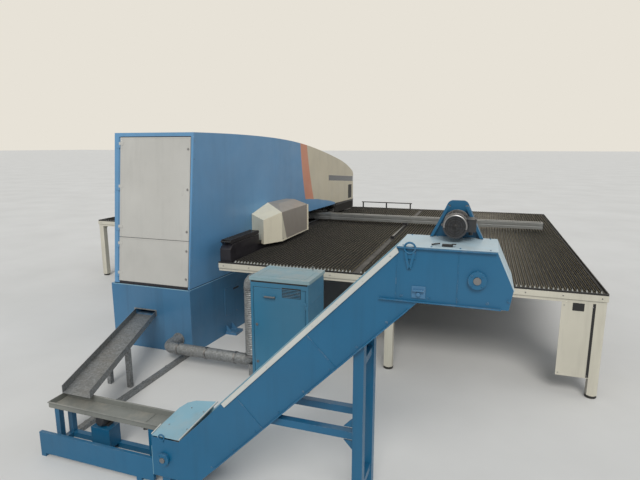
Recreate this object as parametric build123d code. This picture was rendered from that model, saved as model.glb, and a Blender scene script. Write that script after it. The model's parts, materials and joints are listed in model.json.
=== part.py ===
from build123d import *
import os
from math import atan, atan2, cos, degrees, hypot, radians, sin, tan

# Turret punch press with brush tables, suction cabinet and inclined slug conveyor, in millimetres.
# The origin is on the floor under the punching axis. -Y points to the operator's side under the nose,
# +Y to the rear column, -X to the wide loading table and +X to the narrow table.

# General gaps between moving pieces and between round fits
SEAT_GAP = 0.3
BORE_CLEARANCE = 0.05

# C-frame, base and hood
BASE_HEIGHT = 690
BASE_LEDGE = 25
HOOD_REAR_Y = 4160
HOOD_HALF_REAR = 470
HOOD_FLARE_DEG = 4.75
HOOD_WALL = 5
NOSE_Y = -1190
NOSE_CORNER_R = 430
NOSE_BOTTOM_Z = 1150
ARM_UNDERSIDE_Z = 1185
HOOD_TOP = ((3965, 2287), (2660, 2271), (1520, 2193), (220, 1979), (-630, 1745), (NOSE_Y, 1383))
FRAME_HALF = 360
COLUMN_FRONT_Y = 2300
COLUMN_REAR_Y = 3640
ARM_Z = 1210
LOWER_ARM_Z = 820
LOWER_ARM_FRONT_Y = -1080
UPPER_ARM_FRONT_Y = -760
THROAT_FILLET = 90
STRIPE_REAR_TOP_Y = 1520
STRIPE_REAR_BOTTOM_Y = 1240
STRIPE_FRONT_TOP_Y = 1320
STRIPE_FRONT_BOTTOM_Y = 910
STRIPE_BOW = 45
WINDOW_Z = 1565
WINDOW_HEIGHT = 90
WINDOW_REAR_Y = 420
WINDOW_DEPTH = 3
LOUVRE_PITCH = 62
LOUVRE_WIDTH = 34
LOUVRE_COUNT = 11
LOUVRE_LOW_Z = 1175
LOUVRE_HIGH_Z = 1345
ANCHOR_PAD = 130
ANCHOR_PAD_THICK = 30
ANCHOR_HOLE_R = 13
ANCHOR_REAR_Y = 3500
ANCHOR_FRONT_Y = -300

# Rear doors, measured up the leaning rear face
DOOR_THICK = 18
DOOR_GAP = 6
DOOR_BOTTOM = 28
DOOR_SEAM = 504
DOOR_TOP = 1562
DOOR_HINGE_X = 420
DOOR_LATCH_X = -455
HINGE_PIN_R = 4
HINGE_KNUCKLE_R = 8
HINGE_KNUCKLE = 30
HINGE_STRAP = 3
LOWER_HINGES = (70, 390)
UPPER_HINGES = (570, 1000, 1450)

# Rear compartment
TANK_LENGTH = 620
TANK_DEPTH = 260
TANK_HEIGHT = 420
TANK_WALL = 6
PUMP_R = 95
PUMP_LENGTH = 330

# Cream cover on the column's near side
COVER_OUTER_X = -970
COVER_REAR_Y = 3130
COVER_FRONT_Y = 1990
COVER_BOTTOM_Z = 1000
COVER_TOP_Z = 1425
COVER_SIDE_CHAMFER = 190
COVER_TOP_CHAMFER = 65
COVER_TIP_LENGTH = 250
COVER_TIP_WIDTH = 130
COVER_TIP_Z = 1290
COVER_SLOPE_DEG = 14.2
COVER_SLOPE_TURN = 17
COVER_TURN_IN = 457

# Turret and ram
TURRET_Y = -500
TURRET_R = 600
STATION_PITCH_R = 500
STATIONS = 16
STATION_RADII = (40, 24, 32, 24)
PASS_LINE_Z = 962
DIE_TOP_Z = 960
LOWER_TURRET_Z = (840, 952)
UPPER_TURRET_Z = (990, 1120)
GUIDE_HEAD = 6
GUIDE_LIP = 6
TURRET_SHAFT_R = 60
UPPER_SHAFT_TOP_Z = 1450
LOWER_SHAFT_BOTTOM_Z = 705
RAM_R = 45
RAM_STROKE = 35
RAM_TOP_Z = 1650
PUNCH_HEAD_R = 30
PUNCH_BODY_R = 26
PUNCH_TIP_R = 12
PUNCH_HEAD_Z = (1140, 1162)
PUNCH_TIP_Z = DIE_TOP_Z + RAM_STROKE + SEAT_GAP
DIE_CLEARANCE = 0.5
EMPTY_STATION = 4
PORT_R = 55
PORT_WALL = 8
PORT_Z = (1740, 1824)

# Y and X axes
BEAM_REAR_Y = 850
BEAM_DEPTH = 150
BEAM_Z = (985, 1078)
BEAM_NEAR_X = -4100
BEAM_FAR_X = 2600
Y_RAIL_X = 250
Y_RAIL_WIDTH = 45
Y_RAIL_HEIGHT = 40
Y_RAIL_FRONT = 160
Y_RAIL_REAR = COLUMN_FRONT_Y - THROAT_FILLET - 10
Y_BLOCK_LENGTH = 240
Y_BLOCK_WIDTH = 110
OUTER_RAIL_X = 2150
OUTER_RAIL_WIDTH = 30
OUTER_RAIL_HEIGHT = 24
X_RAIL_DEPTH = 18
X_RAIL_HEIGHT = 26
CARRIAGE_HALF = 750
CARRIAGE_DEPTH = 90
CLAMP_PITCH = 600
CLAMP_COUNT = 3
CLAMP_WIDTH = 110
CLAMP_REACH = 190
CLAMP_JAW_THICK = 6
CLAMP_PIN_R = 9

# Brush tables
DECK_Z = 930
DECK_THICK = 12
CHANNEL_PITCH = 37
CHANNEL_WIDTH = 23
CHANNEL_HEIGHT = 13
BRUSH_WIDTH = 11
BRUSH_TOP_Z = 955
TABLE_FRONT_Y = -1200
NEAR_INNER_X = -660
NEAR_OUTER_X = -4315
NEAR_REAR_Y = 3870
FAR_INNER_X = 660
FAR_OUTER_X = 2750
FAR_REAR_Y = 1900
TABLE_MARGIN = 150
BEAM_TUBE = 70
TABLE_LEG = 80
FOOT_HEIGHT = 30
FOOT_R = 45
EDGE_THICK = 8
EDGE_HEIGHT = 62
PANEL_THICK = 3

# Suction cabinet
CABINET_X = (-1940, -1400)
CABINET_Y = (4190, 4600)
CABINET_Z = (60, 1030)
CABINET_WALL = 3
CABINET_LID_DROP = 22
CABINET_DOOR_THICK = 16
CABINET_DOOR_MARGIN = 30
CABINET_HINGES = (160, 780)
FILTER_R = 70
FILTER_HEIGHT = 420
PIPE_R = 55
PIPE_X = -1300
PIPE_Y = 4400
PIPE_TOP_Z = 930
PIPE_LOW_Z = 150
PIPE_BASE_X = -330
PIPE_BEND_R = 90

# Slug conveyor
CONV_NEAR_Y = 6000
CONV_FAR_Y = 5670
CONV_WALL = 4
CONV_DEPTH = 270
CONV_LOW_X = -1390
CONV_LOW_TOP_Z = 345
CONV_LOW_KNEE_X = -1590
CONV_HIGH_TOP_Z = 1675
CONV_SLOPE_DEG = 45.2
CONV_END_X = -3370
CONV_LIP_X = -3450
CONV_LIP_Z = 1500
RIM_HEIGHT = 28
RIM_THICK = 10
RIM_START_X = -1910
BELT_THICK = 6
DRUM_R = 55
BELT_WIDTH = 300
CLEAT_HEIGHT = 32
CLEAT_THICK = 6
CLEAT_PITCH = 240
SHAFT_R = 17.5
TAIL_X = -1480
HEAD_X = -3290
BEARING_R = 42
BEARING_THICK = 22
MOTOR_X = -3170
MOTOR_Z = 1762
MOTOR_R = 60
MOTOR_LENGTH = 185
MOTOR_SPROCKET_R = 30
HEAD_SPROCKET_R = 45
BRACKET_BASE = 270
BRACKET_TOP = 90
BRACKET_THICK = 10
BRACKET_TOP_Z = 1872
GUARD_DEPTH = 46
GUARD_MARGIN = 18
GUARD_WALL = 4
LEG_X = -2725
LEG_TUBE = 58
FOOT_INSET = 50
TIE_Z = 600
TIE_TUBE = 44
HOPPER_RISE = 70
HOPPER_THICK = 3
HOPPER_OVERHANG = 50

# Shaker tray and slug chute
TRAY_NEAR_Y = 5868
TRAY_FAR_Y = 5700
TRAY_FLOOR_Z = 292
TRAY_WALL = 46
TRAY_THICK = 4
TRAY_LOW_X = -1440
TRAY_START_X = -400
STAND_INSET = 150
STAND_BAR = 40
STAND_WALL = 25
STAND_WALL_TOP = 185
DUCT_X = (-490, -440)
DUCT_HEIGHT = 38
CHUTE_X = (-60, 200)
CHUTE_SHIFT = -620
CHUTE_START_Z = 370
CHUTE_END_Z = 352
CHUTE_WALL = 60


def block(x0, x1, y0, y1, z0, z1):
    return Pos((x0 + x1) / 2, (y0 + y1) / 2, (z0 + z1) / 2) * Box(abs(x1 - x0), abs(y1 - y0), abs(z1 - z0))


def rod_x(x0, x1, y, z, r):
    return Pos((x0 + x1) / 2, y, z) * Rot(0, 90, 0) * Cylinder(r, abs(x1 - x0))


def rod_y(y0, y1, x, z, r):
    return Pos(x, (y0 + y1) / 2, z) * Rot(90, 0, 0) * Cylinder(r, abs(y1 - y0))


def rod_z(z0, z1, x, y, r):
    return Pos(x, y, (z0 + z1) / 2) * Cylinder(r, abs(z1 - z0))


def prism_yz(points, x0, x1):
    face = make_face(Polyline(*[(x0, y, z) for y, z in points], close=True))
    return extrude(face, amount=x1 - x0, dir=(1, 0, 0))


def prism_xz(points, y0, y1):
    face = make_face(Polyline(*[(x, y0, z) for x, z in points], close=True))
    return extrude(face, amount=y1 - y0, dir=(0, 1, 0))


def prism_xy(points, z0, z1):
    face = make_face(Polyline(*[(x, y, z0) for x, y in points], close=True))
    return extrude(face, amount=z1 - z0, dir=(0, 0, 1))


def group(pieces):
    solids = [solid for piece in pieces for solid in piece.solids()]
    return Compound(children=solids)


# Hood outline

def hood_half_width(y, grow=0):
    return HOOD_HALF_REAR + grow + (HOOD_REAR_Y - y) * tan(radians(HOOD_FLARE_DEG))


def plan_prism(grow, z0, z1):
    """Plan outline of the machine, widening towards a round-cornered nose."""
    rear_y = HOOD_REAR_Y + grow
    nose_y = NOSE_Y - grow
    rear = hood_half_width(rear_y, grow)
    nose = hood_half_width(nose_y, grow)
    corners = ((-rear, rear_y), (rear, rear_y), (nose, nose_y), (-nose, nose_y))
    outline = make_face(Polyline(*corners, close=True))
    outline = fillet(outline.vertices().group_by(Axis.Y)[0], NOSE_CORNER_R + grow)
    return extrude(Pos(0, 0, z0) * outline, amount=z1 - z0)


def rear_lean():
    top_y, top_z = HOOD_TOP[0]
    return atan((HOOD_REAR_Y - top_y) / (top_z - BASE_HEIGHT))


def side_profile(inset, reach):
    """Side view of the hood: leaning rear edge, long falling crown and blunt nose."""
    top = [(y, z - inset) for y, z in HOOD_TOP]
    top[0] = (HOOD_TOP[0][0] - inset, HOOD_TOP[0][1] - inset)
    top[-1] = (NOSE_Y + inset, HOOD_TOP[-1][1] - inset)
    floor_z = BASE_HEIGHT - reach
    rear_low = (HOOD_REAR_Y - inset + reach * tan(rear_lean()), floor_z)
    x0 = -1300
    crown = Spline(*[(x0, y, z) for y, z in top])
    rest = Polyline(
        (x0, *top[-1]),
        (x0, NOSE_Y + inset, NOSE_BOTTOM_Z - reach),
        (x0, COLUMN_FRONT_Y - reach, ARM_UNDERSIDE_Z - reach),
        (x0, COLUMN_FRONT_Y - reach, floor_z),
        (x0, *rear_low),
        (x0, *top[0]),
    )
    return extrude(make_face(Curve() + [crown, rest]), amount=2600, dir=(1, 0, 0))


def rear_plane():
    """Local frame on the leaning rear face: x towards -X, y up the lean and z outwards."""
    lean = rear_lean()
    return Plane(origin=(0, HOOD_REAR_Y, BASE_HEIGHT), x_dir=(-1, 0, 0), z_dir=(0, cos(lean), sin(lean)))


def rear_block(x0, x1, up0, up1, out0, out1):
    """Block in the rear face's frame, with x given in the machine's own direction."""
    centre = Pos(-(x0 + x1) / 2, (up0 + up1) / 2, (out0 + out1) / 2)
    return rear_plane() * centre * Box(abs(x1 - x0), up1 - up0, out1 - out0)


def rear_rod(x, out, up0, up1, r):
    return rear_plane() * Pos(-x, (up0 + up1) / 2, out) * Rot(90, 0, 0) * Cylinder(r, up1 - up0)


def hood_shell():
    outer = side_profile(0, 0) & plan_prism(0, BASE_HEIGHT, 2400)
    recess_depth = DOOR_THICK + 2
    inner = side_profile(HOOD_WALL, 60) & plan_prism(-HOOD_WALL, BASE_HEIGHT - 60, 2400)
    keep_rear = rear_block(-900, 900, -100, 1700, -recess_depth - HOOD_WALL, 60)
    inner = inner - keep_rear
    recess = rear_block(
        DOOR_LATCH_X - DOOR_GAP, DOOR_HINGE_X, DOOR_BOTTOM - DOOR_GAP, DOOR_TOP + DOOR_GAP, -recess_depth, 60
    )
    opening = rear_block(
        DOOR_LATCH_X + 25, DOOR_HINGE_X - 30, DOOR_BOTTOM + 35, DOOR_TOP - 35, -recess_depth - 60, 60
    )
    groove = rear_rod(DOOR_HINGE_X, 0, DOOR_BOTTOM - DOOR_GAP, DOOR_TOP + DOOR_GAP, HINGE_KNUCKLE_R + 1)
    return outer - inner - recess - opening - groove


def stripe_edge(top_y, bottom_y):
    """Points of one bowed edge of the stripe, from under the hood to above its crown."""
    low = (bottom_y, NOSE_BOTTOM_Z - 100)
    mid = ((top_y + bottom_y) / 2 + STRIPE_BOW, (NOSE_BOTTOM_Z + 2200) / 2)
    high = (top_y, 2400)
    return low, mid, high


def side_region(edge_rear, edge_front):
    """Region of the side view between two bowed edges, as a solid across the machine."""
    x0 = -1300
    rear = ThreePointArc(*[(x0, y, z) for y, z in edge_rear])
    front = ThreePointArc(*[(x0, y, z) for y, z in reversed(edge_front)])
    top = Line((x0, *edge_rear[2]), (x0, *edge_front[2]))
    bottom = Line((x0, *edge_front[0]), (x0, *edge_rear[0]))
    return extrude(make_face(Curve() + [rear, top, front, bottom]), amount=2600, dir=(1, 0, 0))


def far_edge(y):
    return (y, NOSE_BOTTOM_Z - 100), (y + 1, 1700), (y, 2400)


def window_band():
    """Space of the dark strip that runs round the nose."""
    z0 = WINDOW_Z - WINDOW_HEIGHT / 2
    slope = 60
    points = (
        (WINDOW_REAR_Y, z0 + slope),
        (WINDOW_REAR_Y, z0 + slope + WINDOW_HEIGHT),
        (NOSE_Y - 50, z0 - slope + WINDOW_HEIGHT),
        (NOSE_Y - 50, z0 - slope),
    )
    return prism_yz(points, -1300, 1300)


def louvre_slots(depth):
    """Upright louvres across the nose end."""
    slots = []
    for i in range(LOUVRE_COUNT):
        x = (i - (LOUVRE_COUNT - 1) / 2) * LOUVRE_PITCH
        slots.append(
            block(
                x - LOUVRE_WIDTH / 2, x + LOUVRE_WIDTH / 2, NOSE_Y, NOSE_Y + depth,
                LOUVRE_LOW_Z, LOUVRE_HIGH_Z,
            )
        )
    return slots


def hoods():
    shell = hood_shell()
    rear_edge = stripe_edge(STRIPE_REAR_TOP_Y, STRIPE_REAR_BOTTOM_Y)
    front_edge = stripe_edge(STRIPE_FRONT_TOP_Y, STRIPE_FRONT_BOTTOM_Y)
    stripe_zone = side_region(rear_edge, front_edge)
    nose_zone = side_region(front_edge, far_edge(NOSE_Y - 200))
    stripe = shell & stripe_zone
    nose = shell & nose_zone
    rear = shell - stripe_zone - nose_zone
    skin = shell - (side_profile(WINDOW_DEPTH, 60) & plan_prism(-WINDOW_DEPTH, BASE_HEIGHT - 60, 2400))
    window = nose & skin & window_band()
    slots = group(louvre_slots(WINDOW_DEPTH + 1))
    louvre = nose & slots
    nose = with_loading_port(nose - window - louvre)
    return {
        "rear_hood": rear,
        "stripe_band": stripe,
        "nose_hood": nose,
        "nose_window": window,
        "nose_louvre": louvre,
    }


def with_loading_port(nose):
    """Round collared port in the roof, right over the empty station, for changing tools."""
    x, y, _ = station_places()[EMPTY_STATION]
    z0, z1 = PORT_Z
    collar = rod_z(z0, z1, x, y, PORT_R + PORT_WALL)
    return nose + collar - rod_z(z0 - 60, z1 + 1, x, y, PORT_R)


def machine_base():
    base = plan_prism(BASE_LEDGE, 0, BASE_HEIGHT)
    slot = block(
        CHUTE_X[0] + TRAY_THICK, CHUTE_X[1] - TRAY_THICK, HOOD_REAR_Y - 200, HOOD_REAR_Y + 60,
        CHUTE_START_Z + TRAY_THICK, CHUTE_START_Z + CHUTE_WALL,
    )
    base = base - slot
    for y in (ANCHOR_REAR_Y, ANCHOR_FRONT_Y):
        half = hood_half_width(y, BASE_LEDGE)
        for side in (-1, 1):
            pad = block(side * (half - 40), side * (half + ANCHOR_PAD), y - 80, y + 80, 0, ANCHOR_PAD_THICK)
            hole = rod_z(-1, ANCHOR_PAD_THICK + 1, side * (half + ANCHOR_PAD / 2), y, ANCHOR_HOLE_R)
            base = base + pad - hole
    return base


def c_frame():
    """Side profile of the frame: lower arm, column and upper arm round the throat."""
    profile = (
        (COLUMN_REAR_Y, BASE_HEIGHT),
        (COLUMN_REAR_Y - 120, 2180),
        (2600, 2180),
        (1500, 2090),
        (400, 1900),
        (UPPER_ARM_FRONT_Y, 1560),
        (UPPER_ARM_FRONT_Y, ARM_Z),
        (COLUMN_FRONT_Y, ARM_Z),
        (COLUMN_FRONT_Y, LOWER_ARM_Z),
        (LOWER_ARM_FRONT_Y, LOWER_ARM_Z),
        (LOWER_ARM_FRONT_Y, BASE_HEIGHT),
    )
    frame = prism_yz(profile, -FRAME_HALF, FRAME_HALF)
    level = frame.edges().filter_by(Axis.X)
    throat = level.filter_by_position(Axis.Y, COLUMN_FRONT_Y - 1, COLUMN_FRONT_Y + 1)
    frame = fillet(throat, THROAT_FILLET)
    frame = frame - rod_z(ARM_Z - 1, UPPER_SHAFT_TOP_Z + 10, 0, TURRET_Y, TURRET_SHAFT_R + BORE_CLEARANCE)
    frame = frame - rod_z(
        LOWER_SHAFT_BOTTOM_Z - 5, LOWER_ARM_Z + 1, 0, TURRET_Y, TURRET_SHAFT_R + BORE_CLEARANCE
    )
    frame = frame - rod_z(ARM_Z - 1, RAM_TOP_Z + 5, 0, 0, RAM_R + BORE_CLEARANCE)
    drain = rod_z(BASE_HEIGHT - 1, LOWER_ARM_Z + 1, 0, 0, RAM_R)
    return frame - drain


# Rear doors

def rear_door(up0, up1, hinges):
    panel = rear_block(DOOR_LATCH_X, DOOR_HINGE_X - 5, up0, up1, -DOOR_THICK, 0)
    pocket = rear_block(
        DOOR_LATCH_X + 12, DOOR_HINGE_X - 17, up0 + 12, up1 - 12, -DOOR_THICK - 1, -HINGE_STRAP
    )
    rib_count = int((up1 - up0) / 350)
    ribs = [
        rear_block(
            DOOR_LATCH_X + 12, DOOR_HINGE_X - 17, up0 + (up1 - up0) * (i + 1) / (rib_count + 1) - 12,
            up0 + (up1 - up0) * (i + 1) / (rib_count + 1) + 12, -DOOR_THICK, -HINGE_STRAP,
        )
        for i in range(rib_count)
    ]
    door = panel - pocket
    for rib in ribs:
        door = door + rib
    door = door - rear_rod(DOOR_HINGE_X, 0, up0 - 1, up1 + 1, HINGE_KNUCKLE_R + 1)
    for up in hinges:
        low = up + HINGE_KNUCKLE + 1
        high = low + HINGE_KNUCKLE
        knuckle = rear_rod(DOOR_HINGE_X, 0, low, high, HINGE_KNUCKLE_R)
        knuckle = knuckle + rear_block(DOOR_HINGE_X - 48, DOOR_HINGE_X, low, high, 0, HINGE_STRAP)
        bore = rear_rod(DOOR_HINGE_X, 0, low - 1, high + 1, HINGE_PIN_R + BORE_CLEARANCE)
        door = door + knuckle - bore
    return door


def rear_hinges():
    """Fixed knuckles with their pins, on a strap along the hood's rear strip."""
    pieces = []
    for up in LOWER_HINGES + UPPER_HINGES:
        high = up + HINGE_KNUCKLE
        knuckle = rear_rod(DOOR_HINGE_X, 0, up, high, HINGE_KNUCKLE_R)
        strap = rear_block(DOOR_HINGE_X, DOOR_HINGE_X + 44, up, high, 0, HINGE_STRAP)
        pin = rear_rod(DOOR_HINGE_X, 0, high, high + HINGE_KNUCKLE, HINGE_PIN_R)
        pieces.append(knuckle + strap + pin)
    return group(pieces)


def power_unit():
    """Oil tank with its flange-mounted pump motor, standing in the rear compartment."""
    y1 = HOOD_REAR_Y - 160
    y0 = y1 - TANK_DEPTH
    half = TANK_LENGTH / 2
    z0 = BASE_HEIGHT
    z1 = z0 + TANK_HEIGHT
    tank = block(-half, half, y0, y1, z0, z1 - 8)
    tank = tank + block(-half - 12, half + 12, y0 - 12, y1 + 12, z1 - 8, z1)
    tank = tank + rod_z(z1, z1 + 40, -half + 70, (y0 + y1) / 2, 28)
    tank = tank + block(half - 200, half - 40, y0 + 60, y1 - 60, z1, z1 + 110)
    motor = rod_z(z1, z1 + 20, 0, (y0 + y1) / 2, PUMP_R + 12)
    motor = motor + rod_z(z1 + 20, z1 + PUMP_LENGTH, 0, (y0 + y1) / 2, PUMP_R)
    for i in range(12):
        fin = Rot(0, 0, i * 30) * block(PUMP_R - 4, PUMP_R + 10, -3, 3, z1 + 50, z1 + PUMP_LENGTH - 60)
        motor = motor + Pos(0, (y0 + y1) / 2, 0) * fin
    return {"hydraulic_tank": tank, "pump_motor": motor}


def cover_outline():
    """Plan of the cover: straight side, wide bevel, rear edge and a turned-in inner bevel."""
    tip_x = COVER_OUTER_X + COVER_TIP_WIDTH
    return (
        (COVER_OUTER_X, COVER_FRONT_Y),
        (COVER_OUTER_X, COVER_REAR_Y - COVER_TIP_LENGTH),
        (tip_x, COVER_REAR_Y),
        (-300, COVER_REAR_Y - COVER_TURN_IN),
        (-300, COVER_FRONT_Y),
    )


def motor_cover():
    """Faceted cover on the column's side, with a bevelled tip and a kite-shaped rear slope."""
    section = (
        (COVER_OUTER_X, COVER_BOTTOM_Z),
        (COVER_OUTER_X, COVER_TOP_Z - COVER_TOP_CHAMFER),
        (COVER_OUTER_X + COVER_SIDE_CHAMFER, COVER_TOP_Z),
        (-300, COVER_TOP_Z),
        (-300, COVER_BOTTOM_Z),
    )
    body = prism_xz(section, COVER_FRONT_Y, COVER_REAR_Y + 10)
    body = body & prism_xy(cover_outline(), COVER_BOTTOM_Z, COVER_TOP_Z)
    tip_x = COVER_OUTER_X + COVER_TIP_WIDTH
    slope = Plane(
        origin=(tip_x, COVER_REAR_Y, COVER_TIP_Z),
        x_dir=(cos(radians(COVER_SLOPE_TURN)), -sin(radians(COVER_SLOPE_TURN)), 0),
        z_dir=(
            sin(radians(COVER_SLOPE_TURN)) * sin(radians(COVER_SLOPE_DEG)),
            cos(radians(COVER_SLOPE_TURN)) * sin(radians(COVER_SLOPE_DEG)),
            cos(radians(COVER_SLOPE_DEG)),
        ),
    )
    body = body - slope * Pos(0, 0, 500) * Box(3000, 1400, 1000)
    return body - plan_prism(0, COVER_BOTTOM_Z - 10, COVER_TOP_Z + 10)


# Turret, tools and ram

def station_places():
    """Angle, place and radius of each station; the first lies under the ram."""
    places = []
    for i in range(STATIONS):
        angle = radians(90 + i * 360 / STATIONS)
        x = STATION_PITCH_R * cos(angle)
        y = TURRET_Y + STATION_PITCH_R * sin(angle)
        places.append((x, y, STATION_RADII[i % len(STATION_RADII)]))
    return places


def turrets():
    """Two tool discs, each bolted to the end of its own shaft, with guides above and dies below."""
    z0, z1 = UPPER_TURRET_Z
    upper = rod_z(z0, z1, 0, TURRET_Y, TURRET_R)
    upper = chamfer(upper.edges().group_by(Axis.Z)[-1], 12)
    upper_shaft = rod_z(z1, UPPER_SHAFT_TOP_Z, 0, TURRET_Y, TURRET_SHAFT_R)
    low0, low1 = LOWER_TURRET_Z
    lower = rod_z(low0, low1, 0, TURRET_Y, TURRET_R)
    lower = chamfer(lower.edges().group_by(Axis.Z)[0], 12)
    lower_shaft = rod_z(LOWER_SHAFT_BOTTOM_Z, low0, 0, TURRET_Y, TURRET_SHAFT_R)
    guides = []
    dies = []
    die_depth = 30
    for i, (x, y, r) in enumerate(station_places()):
        bore = r + BORE_CLEARANCE
        upper = upper - rod_z(z0 - 1, z1 + 1, x, y, bore)
        lower = lower - rod_z(low1 - die_depth, low1 + 1, x, y, bore + GUIDE_LIP)
        lower = lower - rod_z(low0 - 1, low1, x, y, r - 6)
        die = rod_z(low1 - die_depth, DIE_TOP_Z, x, y, r + GUIDE_LIP)
        tip_r = PUNCH_TIP_R if i == 0 else r * 0.45
        die = die - rod_z(low0, DIE_TOP_Z + 1, x, y, tip_r + DIE_CLEARANCE)
        dies.append(die)
        if i in (0, EMPTY_STATION):
            continue
        guide = rod_z(z0 + 2, z1, x, y, r) + rod_z(z1, z1 + GUIDE_HEAD, x, y, r + GUIDE_LIP)
        guides.append(guide)
    return {
        "upper_turret": group([upper, upper_shaft]),
        "punch_guides": group(guides),
        "lower_turret": group([lower, lower_shaft]),
        "die_holders": group(dies),
    }


def active_punch():
    x, y, r = station_places()[0]
    z0, z1 = UPPER_TURRET_Z
    sleeve = rod_z(z0 + 15, PUNCH_HEAD_Z[0], x, y, r - SEAT_GAP)
    tip = rod_z(PUNCH_TIP_Z, z0 + 15, x, y, PUNCH_TIP_R)
    head = rod_z(PUNCH_HEAD_Z[0], PUNCH_HEAD_Z[1], x, y, PUNCH_HEAD_R)
    return sleeve + tip + head


def ram():
    body = rod_z(PUNCH_HEAD_Z[1] + SEAT_GAP, RAM_TOP_Z, 0, 0, RAM_R)
    return chamfer(body.edges().group_by(Axis.Z)[0], 4)


# Y axis, X axis and clamps

def y_rails():
    rails = []
    for side in (-1, 1):
        x = side * Y_RAIL_X
        rails.append(
            block(
                x - Y_RAIL_WIDTH / 2, x + Y_RAIL_WIDTH / 2, Y_RAIL_FRONT, Y_RAIL_REAR,
                LOWER_ARM_Z, LOWER_ARM_Z + Y_RAIL_HEIGHT,
            )
        )
        x = side * OUTER_RAIL_X
        rails.append(
            block(
                x - OUTER_RAIL_WIDTH / 2, x + OUTER_RAIL_WIDTH / 2, Y_RAIL_FRONT, FAR_REAR_Y - 20,
                DECK_Z, DECK_Z + OUTER_RAIL_HEIGHT,
            )
        )
    return group(rails)


def cross_beam():
    """Light box beam across both tables, with bearing blocks down to its rails."""
    y0 = BEAM_REAR_Y - BEAM_DEPTH
    z0, z1 = BEAM_Z
    beam = block(BEAM_NEAR_X, BEAM_FAR_X, y0, BEAM_REAR_Y, z0, z1)
    groove_z = (z0 + z1) / 2
    groove = block(BEAM_NEAR_X, BEAM_FAR_X, BEAM_REAR_Y - 8, BEAM_REAR_Y + 1, groove_z - 8, groove_z + 8)
    beam = beam - groove
    mid = (y0 + BEAM_REAR_Y) / 2
    rail_top = LOWER_ARM_Z + Y_RAIL_HEIGHT
    for side in (-1, 1):
        x = side * Y_RAIL_X
        foot = block(
            x - Y_BLOCK_WIDTH / 2, x + Y_BLOCK_WIDTH / 2, mid - Y_BLOCK_LENGTH / 2, mid + Y_BLOCK_LENGTH / 2,
            LOWER_ARM_Z + 8, z0,
        )
        slot = block(
            x - Y_RAIL_WIDTH / 2 - SEAT_GAP, x + Y_RAIL_WIDTH / 2 + SEAT_GAP,
            mid - Y_BLOCK_LENGTH, mid + Y_BLOCK_LENGTH, LOWER_ARM_Z, rail_top + SEAT_GAP,
        )
        beam = beam + foot - slot
        x = side * OUTER_RAIL_X
        shoe = block(
            x - 35, x + 35, mid - 70, mid + 70, DECK_Z + OUTER_RAIL_HEIGHT + SEAT_GAP, z0,
        )
        beam = beam + shoe
    return beam


def x_rail():
    y1 = BEAM_REAR_Y - BEAM_DEPTH
    z = (BEAM_Z[0] + BEAM_Z[1]) / 2
    return block(
        BEAM_NEAR_X + 20, BEAM_FAR_X - 20, y1 - X_RAIL_DEPTH, y1, z - X_RAIL_HEIGHT / 2, z + X_RAIL_HEIGHT / 2
    )


def carriage_front_y():
    return BEAM_REAR_Y - BEAM_DEPTH - CARRIAGE_DEPTH


def x_carriage():
    y1 = BEAM_REAR_Y - BEAM_DEPTH - 2
    z0, z1 = BEAM_Z
    z = (z0 + z1) / 2
    half_rail = X_RAIL_HEIGHT / 2 + SEAT_GAP
    bar = block(-CARRIAGE_HALF, CARRIAGE_HALF, carriage_front_y(), y1, z0, z1 - 6)
    slot = block(
        -CARRIAGE_HALF - 1, CARRIAGE_HALF + 1, y1 - X_RAIL_DEPTH - SEAT_GAP + 2, y1 + 1,
        z - half_rail, z + half_rail,
    )
    return bar - slot


def clamp_x(i):
    return (i - (CLAMP_COUNT - 1) / 2) * CLAMP_PITCH


def clamp_pivot():
    return carriage_front_y() - 60, PASS_LINE_Z + 62


def clamp_bodies():
    """Yokes on the carriage; each has a thin lower jaw under the pass line."""
    y1 = carriage_front_y()
    pivot_y, pivot_z = clamp_pivot()
    lower_top = PASS_LINE_Z - 0.5
    pieces = []
    for i in range(CLAMP_COUNT):
        x = clamp_x(i)
        half = CLAMP_WIDTH / 2
        profile = (
            (y1, lower_top - CLAMP_JAW_THICK),
            (y1, pivot_z + 26),
            (pivot_y - 24, pivot_z + 26),
            (pivot_y - 34, pivot_z - 20),
            (pivot_y - 34, lower_top),
            (y1 - CLAMP_REACH, lower_top),
            (y1 - CLAMP_REACH, lower_top - CLAMP_JAW_THICK),
        )
        yoke = prism_yz(profile, x - half, x + half)
        inner = half - 22
        slot = block(
            x - inner, x + inner, y1 - CLAMP_REACH - 1, y1 - 12, lower_top, pivot_z + 40
        )
        yoke = yoke - slot
        yoke = yoke + rod_x(x - inner - 1, x + inner + 1, pivot_y, pivot_z, CLAMP_PIN_R)
        pieces.append(yoke)
    return group(pieces)


def clamp_jaw(i):
    """Upper jaw lever, hung on the yoke's cross pin."""
    pivot_y, pivot_z = clamp_pivot()
    y_tip = carriage_front_y() - CLAMP_REACH
    half = CLAMP_WIDTH / 2 - 22 - 1
    low = PASS_LINE_Z + 5
    profile = (
        (y_tip, low),
        (y_tip, low + 12),
        (pivot_y - 24, pivot_z + 20),
        (pivot_y + 24, pivot_z + 20),
        (pivot_y + 30, pivot_z - 22),
        (pivot_y - 24, pivot_z - 26),
        (y_tip + 46, low),
    )
    x = clamp_x(i)
    jaw = prism_yz(profile, x - half, x + half)
    return jaw - rod_x(x - half - 1, x + half + 1, pivot_y, pivot_z, CLAMP_PIN_R + BORE_CLEARANCE)


# Brush tables

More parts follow.
